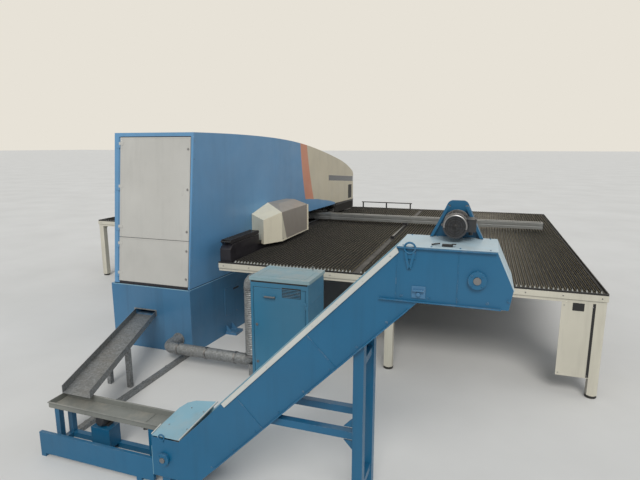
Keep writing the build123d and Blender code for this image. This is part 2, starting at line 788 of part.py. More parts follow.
def table_frame(x0, x1, y0, y1, leg_xs):
    """Welded tube frame with legs and levelling feet."""
    top = DECK_Z - DECK_THICK
    low = top - BEAM_TUBE
    frame = block(x0, x1, y0, y0 + BEAM_TUBE, low, top) + block(x0, x1, y1 - BEAM_TUBE, y1, low, top)
    for x in leg_xs:
        frame = frame + block(x - BEAM_TUBE / 2, x + BEAM_TUBE / 2, y0, y1, low, top)
        for y in (y0 + TABLE_LEG / 2, y1 - TABLE_LEG / 2):
            half = TABLE_LEG / 2
            frame = frame + block(x - half, x + half, y - half, y + half, FOOT_HEIGHT, low)
            frame = frame + rod_z(0, FOOT_HEIGHT, x, y, FOOT_R)
    return frame


def near_leg_xs():
    return [NEAR_OUTER_X + TABLE_LEG / 2, (NEAR_OUTER_X + NEAR_INNER_X) / 2 - 8, NEAR_INNER_X - 540]


def far_leg_xs():
    return [FAR_INNER_X + 200, FAR_OUTER_X - TABLE_LEG / 2]


def leg_panels():
    """Sheet panels between the outer legs of the near table."""
    x = near_leg_xs()[0]
    top = DECK_Z - DECK_THICK - BEAM_TUBE
    half = TABLE_LEG / 2
    y1 = NEAR_REAR_Y
    rear = block(x + half, x + half + 260, y1 - PANEL_THICK, y1, 180, top)
    side = block(x - half, x - half + PANEL_THICK, y1 - TABLE_LEG - 420, y1 - TABLE_LEG, 180, top)
    return group([rear, side])


def table_decks():
    near = block(NEAR_OUTER_X, NEAR_INNER_X, TABLE_FRONT_Y, NEAR_REAR_Y, DECK_Z - DECK_THICK, DECK_Z)
    far = block(FAR_INNER_X, FAR_OUTER_X, TABLE_FRONT_Y, FAR_REAR_Y, DECK_Z - DECK_THICK, DECK_Z)
    return group([near, far])


def strip_xs(x0, x1):
    """Centres of the channel strips that fit between two edges, clear of the outer rail."""
    count = int((x1 - x0) / CHANNEL_PITCH)
    start = x0 + ((x1 - x0) - (count - 1) * CHANNEL_PITCH) / 2
    xs = [start + i * CHANNEL_PITCH for i in range(count)]
    room = (OUTER_RAIL_WIDTH + CHANNEL_WIDTH) / 2 + 2
    return [x for x in xs if abs(abs(x) - OUTER_RAIL_X) > room]


def strips():
    areas = (
        (NEAR_OUTER_X + 15, NEAR_INNER_X - TABLE_MARGIN, NEAR_REAR_Y - 60),
        (FAR_INNER_X + TABLE_MARGIN, FAR_OUTER_X - 15, FAR_REAR_Y - 20),
    )
    channels = []
    brushes = []
    y0 = TABLE_FRONT_Y + 20
    for x0, x1, y1 in areas:
        for x in strip_xs(x0, x1):
            half = CHANNEL_WIDTH / 2
            channels.append(block(x - half, x + half, y0, y1, DECK_Z, DECK_Z + CHANNEL_HEIGHT))
            half = BRUSH_WIDTH / 2
            brushes.append(block(x - half, x + half, y0, y1, DECK_Z + CHANNEL_HEIGHT, BRUSH_TOP_Z))
    return {"channel_strips": Compound(children=channels), "brush_rows": Compound(children=brushes)}


def table_edges():
    """Edge strips along the rear and outer sides of both tables."""
    top = DECK_Z + 18
    low = top - EDGE_HEIGHT
    pieces = [
        block(NEAR_OUTER_X, NEAR_INNER_X, NEAR_REAR_Y, NEAR_REAR_Y + EDGE_THICK, low, top),
        block(NEAR_OUTER_X - EDGE_THICK, NEAR_OUTER_X, TABLE_FRONT_Y, NEAR_REAR_Y, low, top),
        block(NEAR_OUTER_X, NEAR_INNER_X, TABLE_FRONT_Y - EDGE_THICK, TABLE_FRONT_Y, low, top),
        block(FAR_INNER_X, FAR_OUTER_X, FAR_REAR_Y, FAR_REAR_Y + EDGE_THICK, low, top),
        block(FAR_OUTER_X, FAR_OUTER_X + EDGE_THICK, TABLE_FRONT_Y, FAR_REAR_Y, low, top),
        block(FAR_INNER_X, FAR_OUTER_X, TABLE_FRONT_Y - EDGE_THICK, TABLE_FRONT_Y, low, top),
    ]
    return group(pieces)


def front_rail():
    """Thin rail on short posts along the near table's front edge."""
    y = TABLE_FRONT_Y - EDGE_THICK - 12
    x0, x1 = -1960, -960
    z = 1050
    rail = rod_x(x0, x1, y, z, 9)
    for x in (x0 + 30, (x0 + x1) / 2, x1 - 30):
        rail = rail + block(x - 12, x + 12, y - 5, y + 12, DECK_Z - 30, z - 4)
    return rail


def cable_carrier():
    """Black cable trough on the table's inner margin; its tall end stands behind the cover."""
    x1 = NEAR_INNER_X - 5
    x0 = x1 - 125
    y1 = NEAR_REAR_Y - 25
    y0 = COVER_FRONT_Y + 60
    step = COVER_REAR_Y + 25
    top = COVER_BOTTOM_Z - 12
    profile = ((y0, DECK_Z), (y1, DECK_Z), (y1, 1075), (y1 - 60, 1125), (step, 1125), (step, top), (y0, top))
    return prism_yz(profile, x0, x1)


# Suction cabinet

def cabinet():
    x0, x1 = CABINET_X
    y0, y1 = CABINET_Y
    z0, z1 = CABINET_Z
    wall = CABINET_WALL
    lid_z = z1 - CABINET_LID_DROP
    shell = block(x0, x1, y0, y1, z0, z1)
    shell = shell - block(x0 + wall, x1 - wall, y0 + wall, y1 + 1, z0 + wall, lid_z - 20)
    shell = shell - block(x0 + 14, x1 - 14, y0 + 14, y1 - 14, lid_z - wall, z1 + 1)
    rim = CABINET_DOOR_MARGIN
    front = y1 - CABINET_DOOR_THICK - wall
    frame = block(x0, x1, front, y1, z0, z1) - block(x0 + rim, x1 - rim, front - 1, y1 + 1, z0 + rim, z1 - 90)
    recess = block(x0 + rim - 8, x1 - rim + 6, y1 - CABINET_DOOR_THICK - 1, y1 + 1, z0 + rim - 8, z1 - 82)
    shell = shell + frame - recess
    shell = shell - block(x0 + 14, x1 - 14, y0 + 14, y1 - 14, lid_z - wall, z1 + 1)
    for x in (x0 + 50, x1 - 50):
        for y in (y0 + 50, y1 - 50):
            shell = shell + rod_z(0, z0, x, y, 22)
    hinge_x = x0 + rim - 8
    for z in CABINET_HINGES:
        knuckle = rod_z(z, z + HINGE_KNUCKLE, hinge_x, y1, HINGE_KNUCKLE_R)
        knuckle = knuckle - block(hinge_x, hinge_x + 20, y1 - 20, y1, z - 1, z + 40)
        strap = block(hinge_x - 20, hinge_x, y1, y1 + HINGE_STRAP, z, z + HINGE_KNUCKLE)
        pin = rod_z(z + HINGE_KNUCKLE, z + 2 * HINGE_KNUCKLE, hinge_x, y1, HINGE_PIN_R)
        shell = shell - rod_z(z - 1, z + 2 * HINGE_KNUCKLE + 3, hinge_x, y1, HINGE_KNUCKLE_R + 1)
        shell = shell + knuckle + strap + pin
    inlet = rod_x(x1 - 20, x1 + 1, PIPE_Y, PIPE_TOP_Z, PIPE_R)
    shell = shell - inlet
    lid = block(x0 + 15, x1 - 15, y0 + 15, y1 - 15, lid_z - wall, lid_z)
    return {"cabinet_shell": shell, "cabinet_lid": lid, "cabinet_door": cabinet_door()}


def cabinet_door():
    x0, x1 = CABINET_X
    y1 = CABINET_Y[1]
    z0, z1 = CABINET_Z
    rim = CABINET_DOOR_MARGIN
    hinge_x = x0 + rim - 8
    door = block(hinge_x + 4, x1 - rim + 2, y1 - CABINET_DOOR_THICK, y1, z0 + rim - 4, z1 - 86)
    door = door - block(hinge_x + 16, x1 - rim - 12, y1 - 20, y1 - HINGE_STRAP, z0 + rim + 8, z1 - 98)
    door = door - rod_z(z0, z1, hinge_x, y1, HINGE_KNUCKLE_R + 1)
    for z in CABINET_HINGES:
        low = z + HINGE_KNUCKLE + 1
        high = low + HINGE_KNUCKLE
        knuckle = rod_z(low, high, hinge_x, y1, HINGE_KNUCKLE_R)
        knuckle = knuckle + block(hinge_x, hinge_x + 40, y1, y1 + HINGE_STRAP, low, high)
        door = door + knuckle - rod_z(low - 1, high + 1, hinge_x, y1, HINGE_PIN_R + BORE_CLEARANCE)
    handle_x = x1 - rim - 150
    return door + block(handle_x - 60, handle_x + 60, y1, y1 + 14, z1 - 170, z1 - 150)


def filter_cartridges():
    x0, x1 = CABINET_X
    y = (CABINET_Y[0] + CABINET_Y[1]) / 2
    z0 = CABINET_Z[0] + CABINET_WALL
    pieces = []
    for i in range(3):
        x = x0 + (x1 - x0) * (i + 1) / 4
        neck = rod_z(z0, z0 + 12, x, y, FILTER_R * 0.8)
        drum = neck + rod_z(z0 + 12, z0 + FILTER_HEIGHT, x, y, FILTER_R * 0.9)
        pieces.append(drum + rod_z(z0 + FILTER_HEIGHT, z0 + FILTER_HEIGHT + 15, x, y, FILTER_R * 0.6))
    return group(pieces)


def pipe_along(points, r, bend):
    """Pipe of straight runs with round bends, made of rods and torus quarters."""
    pipe = None
    for i in range(len(points) - 1):
        a = Vector(*points[i])
        b = Vector(*points[i + 1])
        step = (b - a).normalized()
        start = a + step * (bend if i > 0 else 0)
        end = b - step * (bend if i < len(points) - 2 else 0)
        length = (end - start).length
        run = Plane(origin=start, z_dir=step) * Pos(0, 0, length / 2) * Cylinder(r, length)
        pipe = run if pipe is None else pipe + run
        if i < len(points) - 2:
            after = (Vector(*points[i + 2]) - b).normalized()
            centre = end + after * bend
            section = Plane(origin=end, z_dir=step) * Circle(r)
            axis = Axis(centre, step.cross(after))
            pipe = pipe + revolve(section, axis, 90)
    return pipe


def suction_pipe():
    """Pipe from the base's rear face along the floor, up and over into the cabinet's side."""
    base_y = HOOD_REAR_Y + BASE_LEDGE
    points = (
        (PIPE_BASE_X, base_y, PIPE_LOW_Z),
        (PIPE_BASE_X, PIPE_Y, PIPE_LOW_Z),
        (PIPE_X, PIPE_Y, PIPE_LOW_Z),
        (PIPE_X, PIPE_Y, PIPE_TOP_Z),
        (CABINET_X[1], PIPE_Y, PIPE_TOP_Z),
    )
    pipe = pipe_along(points, PIPE_R, PIPE_BEND_R)
    collar = rod_x(CABINET_X[1], CABINET_X[1] + 8, PIPE_Y, PIPE_TOP_Z, PIPE_R + 14)
    flange = rod_y(base_y, base_y + 8, PIPE_BASE_X, PIPE_LOW_Z, PIPE_R + 14)
    foot = block(PIPE_X - 30, PIPE_X + 30, PIPE_Y - 30, PIPE_Y + 30, 0, PIPE_LOW_Z - PIPE_R + 20)
    return pipe + collar + flange + foot


# Slug conveyor

def slope_x(z, offset=0):
    """X of the inclined part at height z, for a line lying offset below its top edge."""
    drop = offset / cos(radians(CONV_SLOPE_DEG))
    return CONV_LOW_KNEE_X - (z + drop - CONV_LOW_TOP_Z) / tan(radians(CONV_SLOPE_DEG))


def slope_z(x):
    """Height of the inclined top edge at x."""
    return CONV_LOW_TOP_Z + (CONV_LOW_KNEE_X - x) * tan(radians(CONV_SLOPE_DEG))


def conveyor_line(offset):
    """The two knees of a line that lies offset below the top edge."""
    low_z = CONV_LOW_TOP_Z - offset
    high_z = CONV_HIGH_TOP_Z - offset
    return (slope_x(low_z, offset), low_z), (slope_x(high_z, offset), high_z)


def side_outline():
    top_low, top_high = conveyor_line(0)
    pan_low, pan_high = conveyor_line(CONV_DEPTH)
    return (
        (CONV_LOW_X, CONV_LOW_TOP_Z),
        top_low,
        top_high,
        (CONV_END_X, CONV_HIGH_TOP_Z),
        (CONV_LIP_X, CONV_LIP_Z),
        (CONV_LIP_X + 15, CONV_HIGH_TOP_Z - CONV_DEPTH),
        pan_high,
        pan_low,
        (CONV_LOW_X, CONV_LOW_TOP_Z - CONV_DEPTH),
    )


def shaft_places():
    mid = CONV_DEPTH / 2
    return (TAIL_X, CONV_LOW_TOP_Z - mid), (HEAD_X, CONV_HIGH_TOP_Z - mid)


def conveyor_sides():
    outline = side_outline()
    sides = {}
    for name, y0 in (("conveyor_near_side", CONV_NEAR_Y - CONV_WALL), ("conveyor_far_side", CONV_FAR_Y)):
        panel = prism_xz(outline, y0, y0 + CONV_WALL)
        for x, z in shaft_places():
            panel = panel - rod_y(y0 - 1, y0 + CONV_WALL + 1, x, z, SHAFT_R + 6)
        sides[name] = panel
    return sides


def conveyor_pan():
    """Bottom sheet between the side panels, from the low end to the discharge."""
    y0 = CONV_FAR_Y + CONV_WALL
    y1 = CONV_NEAR_Y - CONV_WALL
    low, high = conveyor_line(CONV_DEPTH)
    inner_low, inner_high = conveyor_line(CONV_DEPTH - CONV_WALL)
    end_x = HEAD_X + 60
    z0 = CONV_LOW_TOP_Z - CONV_DEPTH
    z1 = CONV_HIGH_TOP_Z - CONV_DEPTH
    outline = (
        (CONV_LOW_X, z0 + 150),
        (CONV_LOW_X, z0),
        low,
        high,
        (end_x, z1),
        (end_x, z1 + CONV_WALL),
        inner_high,
        inner_low,
        (CONV_LOW_X - CONV_WALL, z0 + CONV_WALL),
        (CONV_LOW_X - CONV_WALL, z0 + 150),
    )
    return prism_xz(outline, y0, y1)


def conveyor_cover():
    """Plate over the top section, folded down over the slanted discharge end."""
    knee_x = conveyor_line(0)[1][0]
    t = CONV_WALL
    z = CONV_HIGH_TOP_Z
    top = block(knee_x, CONV_END_X, CONV_FAR_Y, CONV_NEAR_Y, z, z + t)
    end = (
        (CONV_END_X, z + t),
        (CONV_END_X, z),
        (CONV_LIP_X, CONV_LIP_Z),
        (CONV_LIP_X - t, CONV_LIP_Z),
        (CONV_END_X - t, z + t),
    )
    return top + prism_xz(end, CONV_FAR_Y, CONV_NEAR_Y)


def conveyor_rim():
    """Pale edging along the inclined top edges; the near strip starts above the feed plate."""
    low, high = conveyor_line(0)
    low_in, high_in = conveyor_line(RIM_HEIGHT)
    slope = radians(CONV_SLOPE_DEG)
    start_z = slope_z(RIM_START_X)
    start = (RIM_START_X, start_z)
    start_in = (RIM_START_X - RIM_HEIGHT * sin(slope), start_z - RIM_HEIGHT * cos(slope))
    near = prism_xz((start, high, high_in, start_in), CONV_NEAR_Y, CONV_NEAR_Y + RIM_THICK)
    far = prism_xz((low, high, high_in, low_in), CONV_FAR_Y - RIM_THICK, CONV_FAR_Y)
    return group([near, far])


def belt_line():
    tail, head = shaft_places()
    low, high = conveyor_line(CONV_DEPTH / 2)
    return [tail, low, high, head]


def band_solid(points, r, y0, y1):
    """Solid of all places within r of a line of points in the side view."""
    solid = None
    for i in range(len(points) - 1):
        (xa, za), (xb, zb) = points[i], points[i + 1]
        length = hypot(xb - xa, zb - za)
        angle = degrees(atan2(zb - za, xb - xa))
        middle = Pos((xa + xb) / 2, (y0 + y1) / 2, (za + zb) / 2)
        run = middle * Rot(0, -angle, 0) * Box(length, y1 - y0, 2 * r)
        solid = run if solid is None else solid + run
    for x, z in points:
        solid = solid + rod_y(y0, y1, x, z, r)
    return solid


def conveyor_belt():
    mid = (CONV_FAR_Y + CONV_NEAR_Y) / 2
    y0 = mid - BELT_WIDTH / 2
    y1 = mid + BELT_WIDTH / 2
    line = belt_line()
    inner_r = DRUM_R + SEAT_GAP
    outer_r = inner_r + BELT_THICK
    belt = band_solid(line, outer_r, y0, y1)
    inside = band_solid(line, inner_r, y0 - 1, y1 + 1)
    cleats = []
    low, high = line[1], line[2]
    length = hypot(high[0] - low[0], high[1] - low[1])
    angle = degrees(atan2(high[1] - low[1], high[0] - low[0]))
    count = int(length / CLEAT_PITCH)
    for i in range(count):
        t = (i + 0.5) / count
        x = low[0] + (high[0] - low[0]) * t
        z = low[1] + (high[1] - low[1]) * t
        for side in (-1, 1):
            out = side * (outer_r + CLEAT_HEIGHT / 2 - 1)
            cleat = Pos(x, mid, z) * Rot(0, -angle, 0) * Pos(0, 0, out)
            cleats.append(cleat * Box(CLEAT_THICK, BELT_WIDTH - 20, CLEAT_HEIGHT + 2))
    for cleat in cleats:
        belt = belt + cleat
    return belt - inside


def drum_shaft(place, y0, y1):
    """Drum with stepped ends and a through shaft."""
    x, z = place
    mid = (CONV_FAR_Y + CONV_NEAR_Y) / 2
    half = BELT_WIDTH / 2 - 4
    drum = rod_y(mid - half, mid + half, x, z, DRUM_R)
    drum = drum - rod_y(mid - half - 1, mid - half + 12, x, z, DRUM_R - 10)
    drum = drum - rod_y(mid + half - 12, mid + half + 1, x, z, DRUM_R - 10)
    return drum + rod_y(y0, y1, x, z, SHAFT_R)


def shaft_nodes():
    tail, head = shaft_places()
    near_end = CONV_NEAR_Y + BEARING_THICK + 6
    far_end = CONV_FAR_Y - BEARING_THICK - 6
    sprocket_y0 = CONV_FAR_Y - BEARING_THICK - 22
    drive = drum_shaft(head, sprocket_y0, near_end)
    drive = drive + sprocket(head, HEAD_SPROCKET_R, 18, sprocket_y0, sprocket_y0 + 12)
    bearings = []
    for x, z in (tail, head):
        for y0, y1 in ((CONV_NEAR_Y, CONV_NEAR_Y + BEARING_THICK), (CONV_FAR_Y - BEARING_THICK, CONV_FAR_Y)):
            housing = rod_y(y0, y1, x, z, BEARING_R)
            bearings.append(housing - rod_y(y0 - 1, y1 + 1, x, z, SHAFT_R + BORE_CLEARANCE))
    return {
        "drive_shaft": drive,
        "tail_shaft": drum_shaft(tail, far_end, near_end),
        "shaft_bearings": group(bearings),
    }


def sprocket(place, r, teeth, y0, y1):
    """Chain wheel with trapezoid teeth."""
    x, z = place
    wheel = rod_y(y0, y1, x, z, r)
    for i in range(teeth):
        tooth = Rot(0, i * 360 / teeth, 0) * Pos(r + 1.5, 0, 0) * Box(7, y1 - y0 - 6, 4)
        wheel = wheel + Pos(x, (y0 + y1) / 2, z) * tooth
    return wheel


def drive_bracket():
    """Upright plate with a round-shouldered top, bolted to the far side panel."""
    z0 = CONV_HIGH_TOP_Z - 60
    half = BRACKET_BASE / 2
    top = BRACKET_TOP / 2
    y1 = CONV_FAR_Y
    y0 = y1 - BRACKET_THICK
    outline = (
        (MOTOR_X - half, z0),
        (MOTOR_X - half, CONV_HIGH_TOP_Z),
        (MOTOR_X - top, BRACKET_TOP_Z),
        (MOTOR_X + top, BRACKET_TOP_Z),
        (MOTOR_X + half, CONV_HIGH_TOP_Z),
        (MOTOR_X + half, z0),
    )
    plate = prism_xz(outline, y0, y1)
    rounds = plate.edges().filter_by(Axis.Y).group_by(Axis.Z)[-1]
    plate = fillet(rounds, 32)
    flange = prism_xz(
        (
            (MOTOR_X + half, CONV_HIGH_TOP_Z),
            (MOTOR_X + top + 8, BRACKET_TOP_Z - 26),
            (MOTOR_X + top + 2, BRACKET_TOP_Z - 30),
            (MOTOR_X + half - 8, CONV_HIGH_TOP_Z),
        ),
        y1, y1 + 34,
    )
    mirror_flange = prism_xz(
        (
            (MOTOR_X - half, CONV_HIGH_TOP_Z + CONV_WALL),
            (MOTOR_X - top - 8, BRACKET_TOP_Z - 26),
            (MOTOR_X - top - 2, BRACKET_TOP_Z - 30),
            (MOTOR_X - half + 8, CONV_HIGH_TOP_Z + CONV_WALL),
        ),
        y1, y1 + 34,
    )
    lift = block(MOTOR_X - 300, MOTOR_X + 300, y1, y1 + 60, z0, CONV_HIGH_TOP_Z + CONV_WALL)
    hole = rod_y(y0 - 1, y1 + 40, MOTOR_X, MOTOR_Z, 24)
    return plate + (flange - lift) + (mirror_flange - lift) - hole


def gear_motor():
    """Round gear motor on the bracket's near face, with cooling fins and a terminal box."""
    y0 = CONV_FAR_Y
    y1 = y0 + MOTOR_LENGTH
    body = rod_y(y0, y0 + 18, MOTOR_X, MOTOR_Z, MOTOR_R + 2)
    body = body + rod_y(y0 + 18, y1 - 40, MOTOR_X, MOTOR_Z, MOTOR_R - 8)
    for i in range(16):
        fin = Rot(0, i * 22.5, 0) * Pos(MOTOR_R - 6, 0, 0) * Box(12, MOTOR_LENGTH - 100, 4)
        body = body + Pos(MOTOR_X, y0 + 40 + (MOTOR_LENGTH - 100) / 2, MOTOR_Z) * fin
    cowl = rod_y(y1 - 52, y1, MOTOR_X, MOTOR_Z, MOTOR_R)
    cowl = cowl - rod_y(y1 - 6, y1 + 1, MOTOR_X, MOTOR_Z, MOTOR_R - 9)
    body = body + cowl
    box_x = MOTOR_X - MOTOR_R
    body = body + block(box_x - 38, box_x + 14, y0 + 60, y0 + 150, MOTOR_Z - 30, MOTOR_Z + 30)
    return body - rod_y(y0 - 1, y0 + 40, MOTOR_X, MOTOR_Z, SHAFT_R + BORE_CLEARANCE)


def motor_shaft():
    sprocket_y0 = CONV_FAR_Y - BEARING_THICK - 22
    place = (MOTOR_X, MOTOR_Z)
    shaft = rod_y(sprocket_y0, CONV_FAR_Y + 38, MOTOR_X, MOTOR_Z, SHAFT_R)
    return shaft + sprocket(place, MOTOR_SPROCKET_R, 12, sprocket_y0, sprocket_y0 + 12)


def guard_band(grow, y0, y1):
    return band_solid([(MOTOR_X, MOTOR_Z), shaft_places()[1]], HEAD_SPROCKET_R + GUARD_MARGIN + grow, y0, y1)


def chain_guard():
    """Hollow guard over the chain drive on the far side."""
    y0 = CONV_FAR_Y - BRACKET_THICK - GUARD_DEPTH
    y1 = CONV_FAR_Y - BRACKET_THICK
    return guard_band(0, y0, y1) - guard_band(-GUARD_WALL, y0 + GUARD_WALL, y1 + 1)


def conveyor_stand():
    """Pair of legs under the incline, level ties to the trough, and feet at the low end."""
    half = LEG_TUBE / 2
    ys = (CONV_FAR_Y + half + 2, CONV_NEAR_Y - half - 20)
    bars = []
    for y in ys:
        bars.append(block(LEG_X - half, LEG_X + half, y - half, y + half, 12, 1400))
        bars.append(block(LEG_X - 70, LEG_X + 70, y - half, y + half, 0, 12))
        bars.append(
            block(
                LEG_X + half, slope_x(TIE_Z - 60, CONV_DEPTH), y - TIE_TUBE / 2, y + TIE_TUBE / 2,
                TIE_Z - TIE_TUBE / 2, TIE_Z + TIE_TUBE / 2,
            )
        )
        x1 = CONV_LOW_X - FOOT_INSET
        bars.append(block(x1 - LEG_TUBE, x1, y - half, y + half, 0, CONV_LOW_TOP_Z - CONV_DEPTH))
    for z in (260, 1010):
        bars.append(block(LEG_X - 20, LEG_X + 20, ys[0] + half, ys[1] - half, z - 20, z + 20))
    low, high = conveyor_line(CONV_DEPTH)
    above = prism_xz(
        ((low[0] + 400, low[1]), low, high, (high[0] - 400, high[1]), (high[0], high[1] + 900),
         (low[0] + 900, high[1] + 900), (low[0] + 900, low[1])),
        CONV_FAR_Y - 50, CONV_NEAR_Y + 50,
    )
    return group([bar - above for bar in bars])


def hopper():
    """Tilted feed plate over the low end, its upright web, and the low end plate."""
    t = HOPPER_THICK
    knee = CONV_LOW_KNEE_X
    fall = HOPPER_RISE / (CONV_NEAR_Y - CONV_FAR_Y)
    z0 = CONV_LOW_TOP_Z + t
    far_y = CONV_FAR_Y - HOPPER_OVERHANG
    far_z = z0 + (CONV_NEAR_Y - far_y) * fall
    slab = ((CONV_NEAR_Y, z0), (CONV_NEAR_Y, z0 + t), (far_y, far_z + t), (far_y, far_z))
    strip = prism_yz(slab, knee - 300, knee + 300)
    plan = (
        (knee - 6, CONV_NEAR_Y - CONV_WALL - 1),
        (knee + 155, CONV_NEAR_Y - 70),
        (knee + 113, CONV_FAR_Y - 10),
        (knee - 65, far_y),
    )
    plate = strip & prism_xy(plan, z0 - 10, far_z + 50)
    web_z = z0 + HOPPER_RISE + t / 2
    web = prism_xz(
        (
            (knee + 100, CONV_LOW_TOP_Z), (knee, CONV_LOW_TOP_Z), (knee - 60, slope_z(knee - 60)),
            (knee - 60, web_z), (knee + 100, web_z),
        ),
        CONV_FAR_Y, CONV_FAR_Y + CONV_WALL,
    )
    end = block(
        CONV_LOW_X, CONV_LOW_X + t, CONV_FAR_Y, CONV_NEAR_Y,
        CONV_LOW_TOP_Z - CONV_DEPTH, TRAY_FLOOR_Z - 12,
    )
    return group([plate + web, end])


# Shaker tray, its stand and the chute from the base

def shaker_tray():
    """Pale open tray that shakes slugs along into the low end of the conveyor."""
    z0 = TRAY_FLOOR_Z
    z1 = z0 + TRAY_WALL
    outer = block(TRAY_LOW_X, TRAY_START_X, TRAY_FAR_Y, TRAY_NEAR_Y, z0, z1)
    t = TRAY_THICK
    inner = block(TRAY_LOW_X - 1, TRAY_START_X - t, TRAY_FAR_Y + t, TRAY_NEAR_Y - t, z0 + t, z1 + 1)
    return outer - inner


def shaker_stand():
    """Floor frame under the tray, with its long near wall butted to the conveyor's end."""
    x0, x1 = CONV_LOW_X - FOOT_INSET, TRAY_START_X - 40
    y0, y1 = TRAY_FAR_Y + 10, TRAY_NEAR_Y - 10
    bar = STAND_BAR
    stand = block(x0, x1, y0, y0 + bar, 0, bar) + block(x0 + STAND_INSET, x1, y1 - bar, y1, 0, bar)
    for x in (x0 + STAND_INSET, x1 - bar):
        stand = stand + block(x, x + bar, y0, CONV_NEAR_Y, 0, bar)
        for y in (y0, y1 - bar):
            stand = stand + block(x, x + bar, y, y + bar, bar, TRAY_FLOOR_Z - SEAT_GAP)
    wall_x = CONV_LOW_X + HOPPER_THICK
    stand = stand + block(wall_x, x1, CONV_NEAR_Y - STAND_WALL, CONV_NEAR_Y, STAND_WALL, STAND_WALL_TOP)
    return stand + block(-900, -740, y0 + 20, y1 - 20, bar, 190)


def floor_duct():
    """Flat cable duct on the floor between the base and the shaker's stand."""
    y0 = HOOD_REAR_Y + BASE_LEDGE
    return block(DUCT_X[0], DUCT_X[1], y0, TRAY_FAR_Y + 10, 0, DUCT_HEIGHT)


def slug_chute():
    """Open vibrating chute that crosses from the base's rear slot to the tray."""
    x0, x1 = CHUTE_X
    y0 = HOOD_REAR_Y + BASE_LEDGE
    z0 = CHUTE_START_Z
    z1 = z0 + CHUTE_WALL
    t = TRAY_THICK
    section = (
        (x0, z0), (x1, z0), (x1, z1), (x1 - t, z1), (x1 - t, z0 + t), (x0 + t, z0 + t), (x0 + t, z1), (x0, z1)
    )
    run = Vector(CHUTE_SHIFT, TRAY_FAR_Y + 60 - y0, CHUTE_END_Z - CHUTE_START_Z)
    face = make_face(Polyline(*[(x, y0, z) for x, z in section], close=True))
    chute = extrude(face, amount=run.length, dir=run.normalized())
    y = y0 + run.Y / 2
    z = z0 + run.Z / 2
    for x in (x0 + run.X / 2, x1 + run.X / 2 - 40):
        chute = chute + block(x, x + 40, y - 20, y + 20, 0, z + 2)
    return chute


def all_nodes():
    nodes = {"machine_base": machine_base(), "c_frame": c_frame()}
    nodes.update(hoods())
    nodes["rear_door"] = rear_door(DOOR_SEAM + DOOR_GAP / 2, DOOR_TOP, UPPER_HINGES)
    nodes["rear_lower_door"] = rear_door(DOOR_BOTTOM, DOOR_SEAM - DOOR_GAP / 2, LOWER_HINGES)
    nodes["rear_hinges"] = rear_hinges()
    nodes.update(power_unit())
    nodes["motor_cover"] = motor_cover()
    nodes.update(turrets())
    nodes["active_punch"] = active_punch()
    nodes["ram"] = ram()
    nodes["y_rails"] = y_rails()
    nodes["cross_beam"] = cross_beam()
    nodes["x_rail"] = x_rail()
    nodes["x_carriage"] = x_carriage()
    nodes["clamp_bodies"] = clamp_bodies()
    for i in range(CLAMP_COUNT):
        nodes[f"clamp_jaw_{i + 1}"] = clamp_jaw(i)
    nodes["near_table_frame"] = table_frame(
        NEAR_OUTER_X, NEAR_INNER_X, TABLE_FRONT_Y, NEAR_REAR_Y, near_leg_xs()
    )
    nodes["leg_panels"] = leg_panels()
    nodes["far_table_frame"] = table_frame(
        FAR_INNER_X, FAR_OUTER_X, TABLE_FRONT_Y, FAR_REAR_Y, far_leg_xs()
    )
    nodes["table_decks"] = table_decks()
    nodes.update(strips())
    nodes["table_edges"] = table_edges()
    nodes["front_rail"] = front_rail()
    nodes["cable_carrier"] = cable_carrier()
    nodes.update(cabinet())
    nodes["filter_cartridges"] = filter_cartridges()
    nodes["suction_pipe"] = suction_pipe()
    nodes.update(conveyor_sides())
    nodes["conveyor_pan"] = conveyor_pan()
    nodes["conveyor_cover"] = conveyor_cover()
    nodes["conveyor_rim"] = conveyor_rim()
    nodes["conveyor_belt"] = conveyor_belt()
    nodes.update(shaft_nodes())
    nodes["drive_bracket"] = drive_bracket()
    nodes["gear_motor"] = gear_motor()
    nodes["motor_shaft"] = motor_shaft()
    nodes["chain_guard"] = chain_guard()
    nodes["conveyor_stand"] = conveyor_stand()
    nodes["hopper"] = hopper()
    nodes["shaker_tray"] = shaker_tray()
    nodes["shaker_stand"] = shaker_stand()
    nodes["slug_chute"] = slug_chute()
    nodes["floor_duct"] = floor_duct()
    return nodes


os.makedirs("parts", exist_ok=True)
for node_name, shape in all_nodes().items():
    export_step(shape, f"parts/{node_name}.step")
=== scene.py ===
import json
import math
import random

import bmesh
import bpy
from mathutils import Matrix, Vector


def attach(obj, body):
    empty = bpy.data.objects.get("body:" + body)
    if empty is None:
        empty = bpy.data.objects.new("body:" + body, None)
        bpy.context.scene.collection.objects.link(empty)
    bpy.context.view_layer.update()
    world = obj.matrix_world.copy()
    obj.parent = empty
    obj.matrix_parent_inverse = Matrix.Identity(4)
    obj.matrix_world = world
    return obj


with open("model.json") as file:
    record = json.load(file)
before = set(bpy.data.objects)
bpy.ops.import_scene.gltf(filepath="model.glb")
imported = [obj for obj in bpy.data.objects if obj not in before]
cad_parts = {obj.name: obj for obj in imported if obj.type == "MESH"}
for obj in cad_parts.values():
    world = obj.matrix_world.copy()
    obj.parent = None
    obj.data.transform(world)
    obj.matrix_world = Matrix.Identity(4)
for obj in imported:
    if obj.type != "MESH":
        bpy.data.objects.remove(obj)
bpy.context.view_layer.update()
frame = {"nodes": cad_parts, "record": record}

NODES = frame["nodes"]
RNG = random.Random(71)

# Camera, fitted to the photograph
CAMERA_PLACE = Vector((-3.30, 8.30, 2.15))
CAMERA_HEADING = Vector((0.3214, -0.9469, 0.0))
CAMERA_PITCH = math.radians(10.92)
CAMERA_LENS = 27.39
SENSOR_WIDTH = 36.0

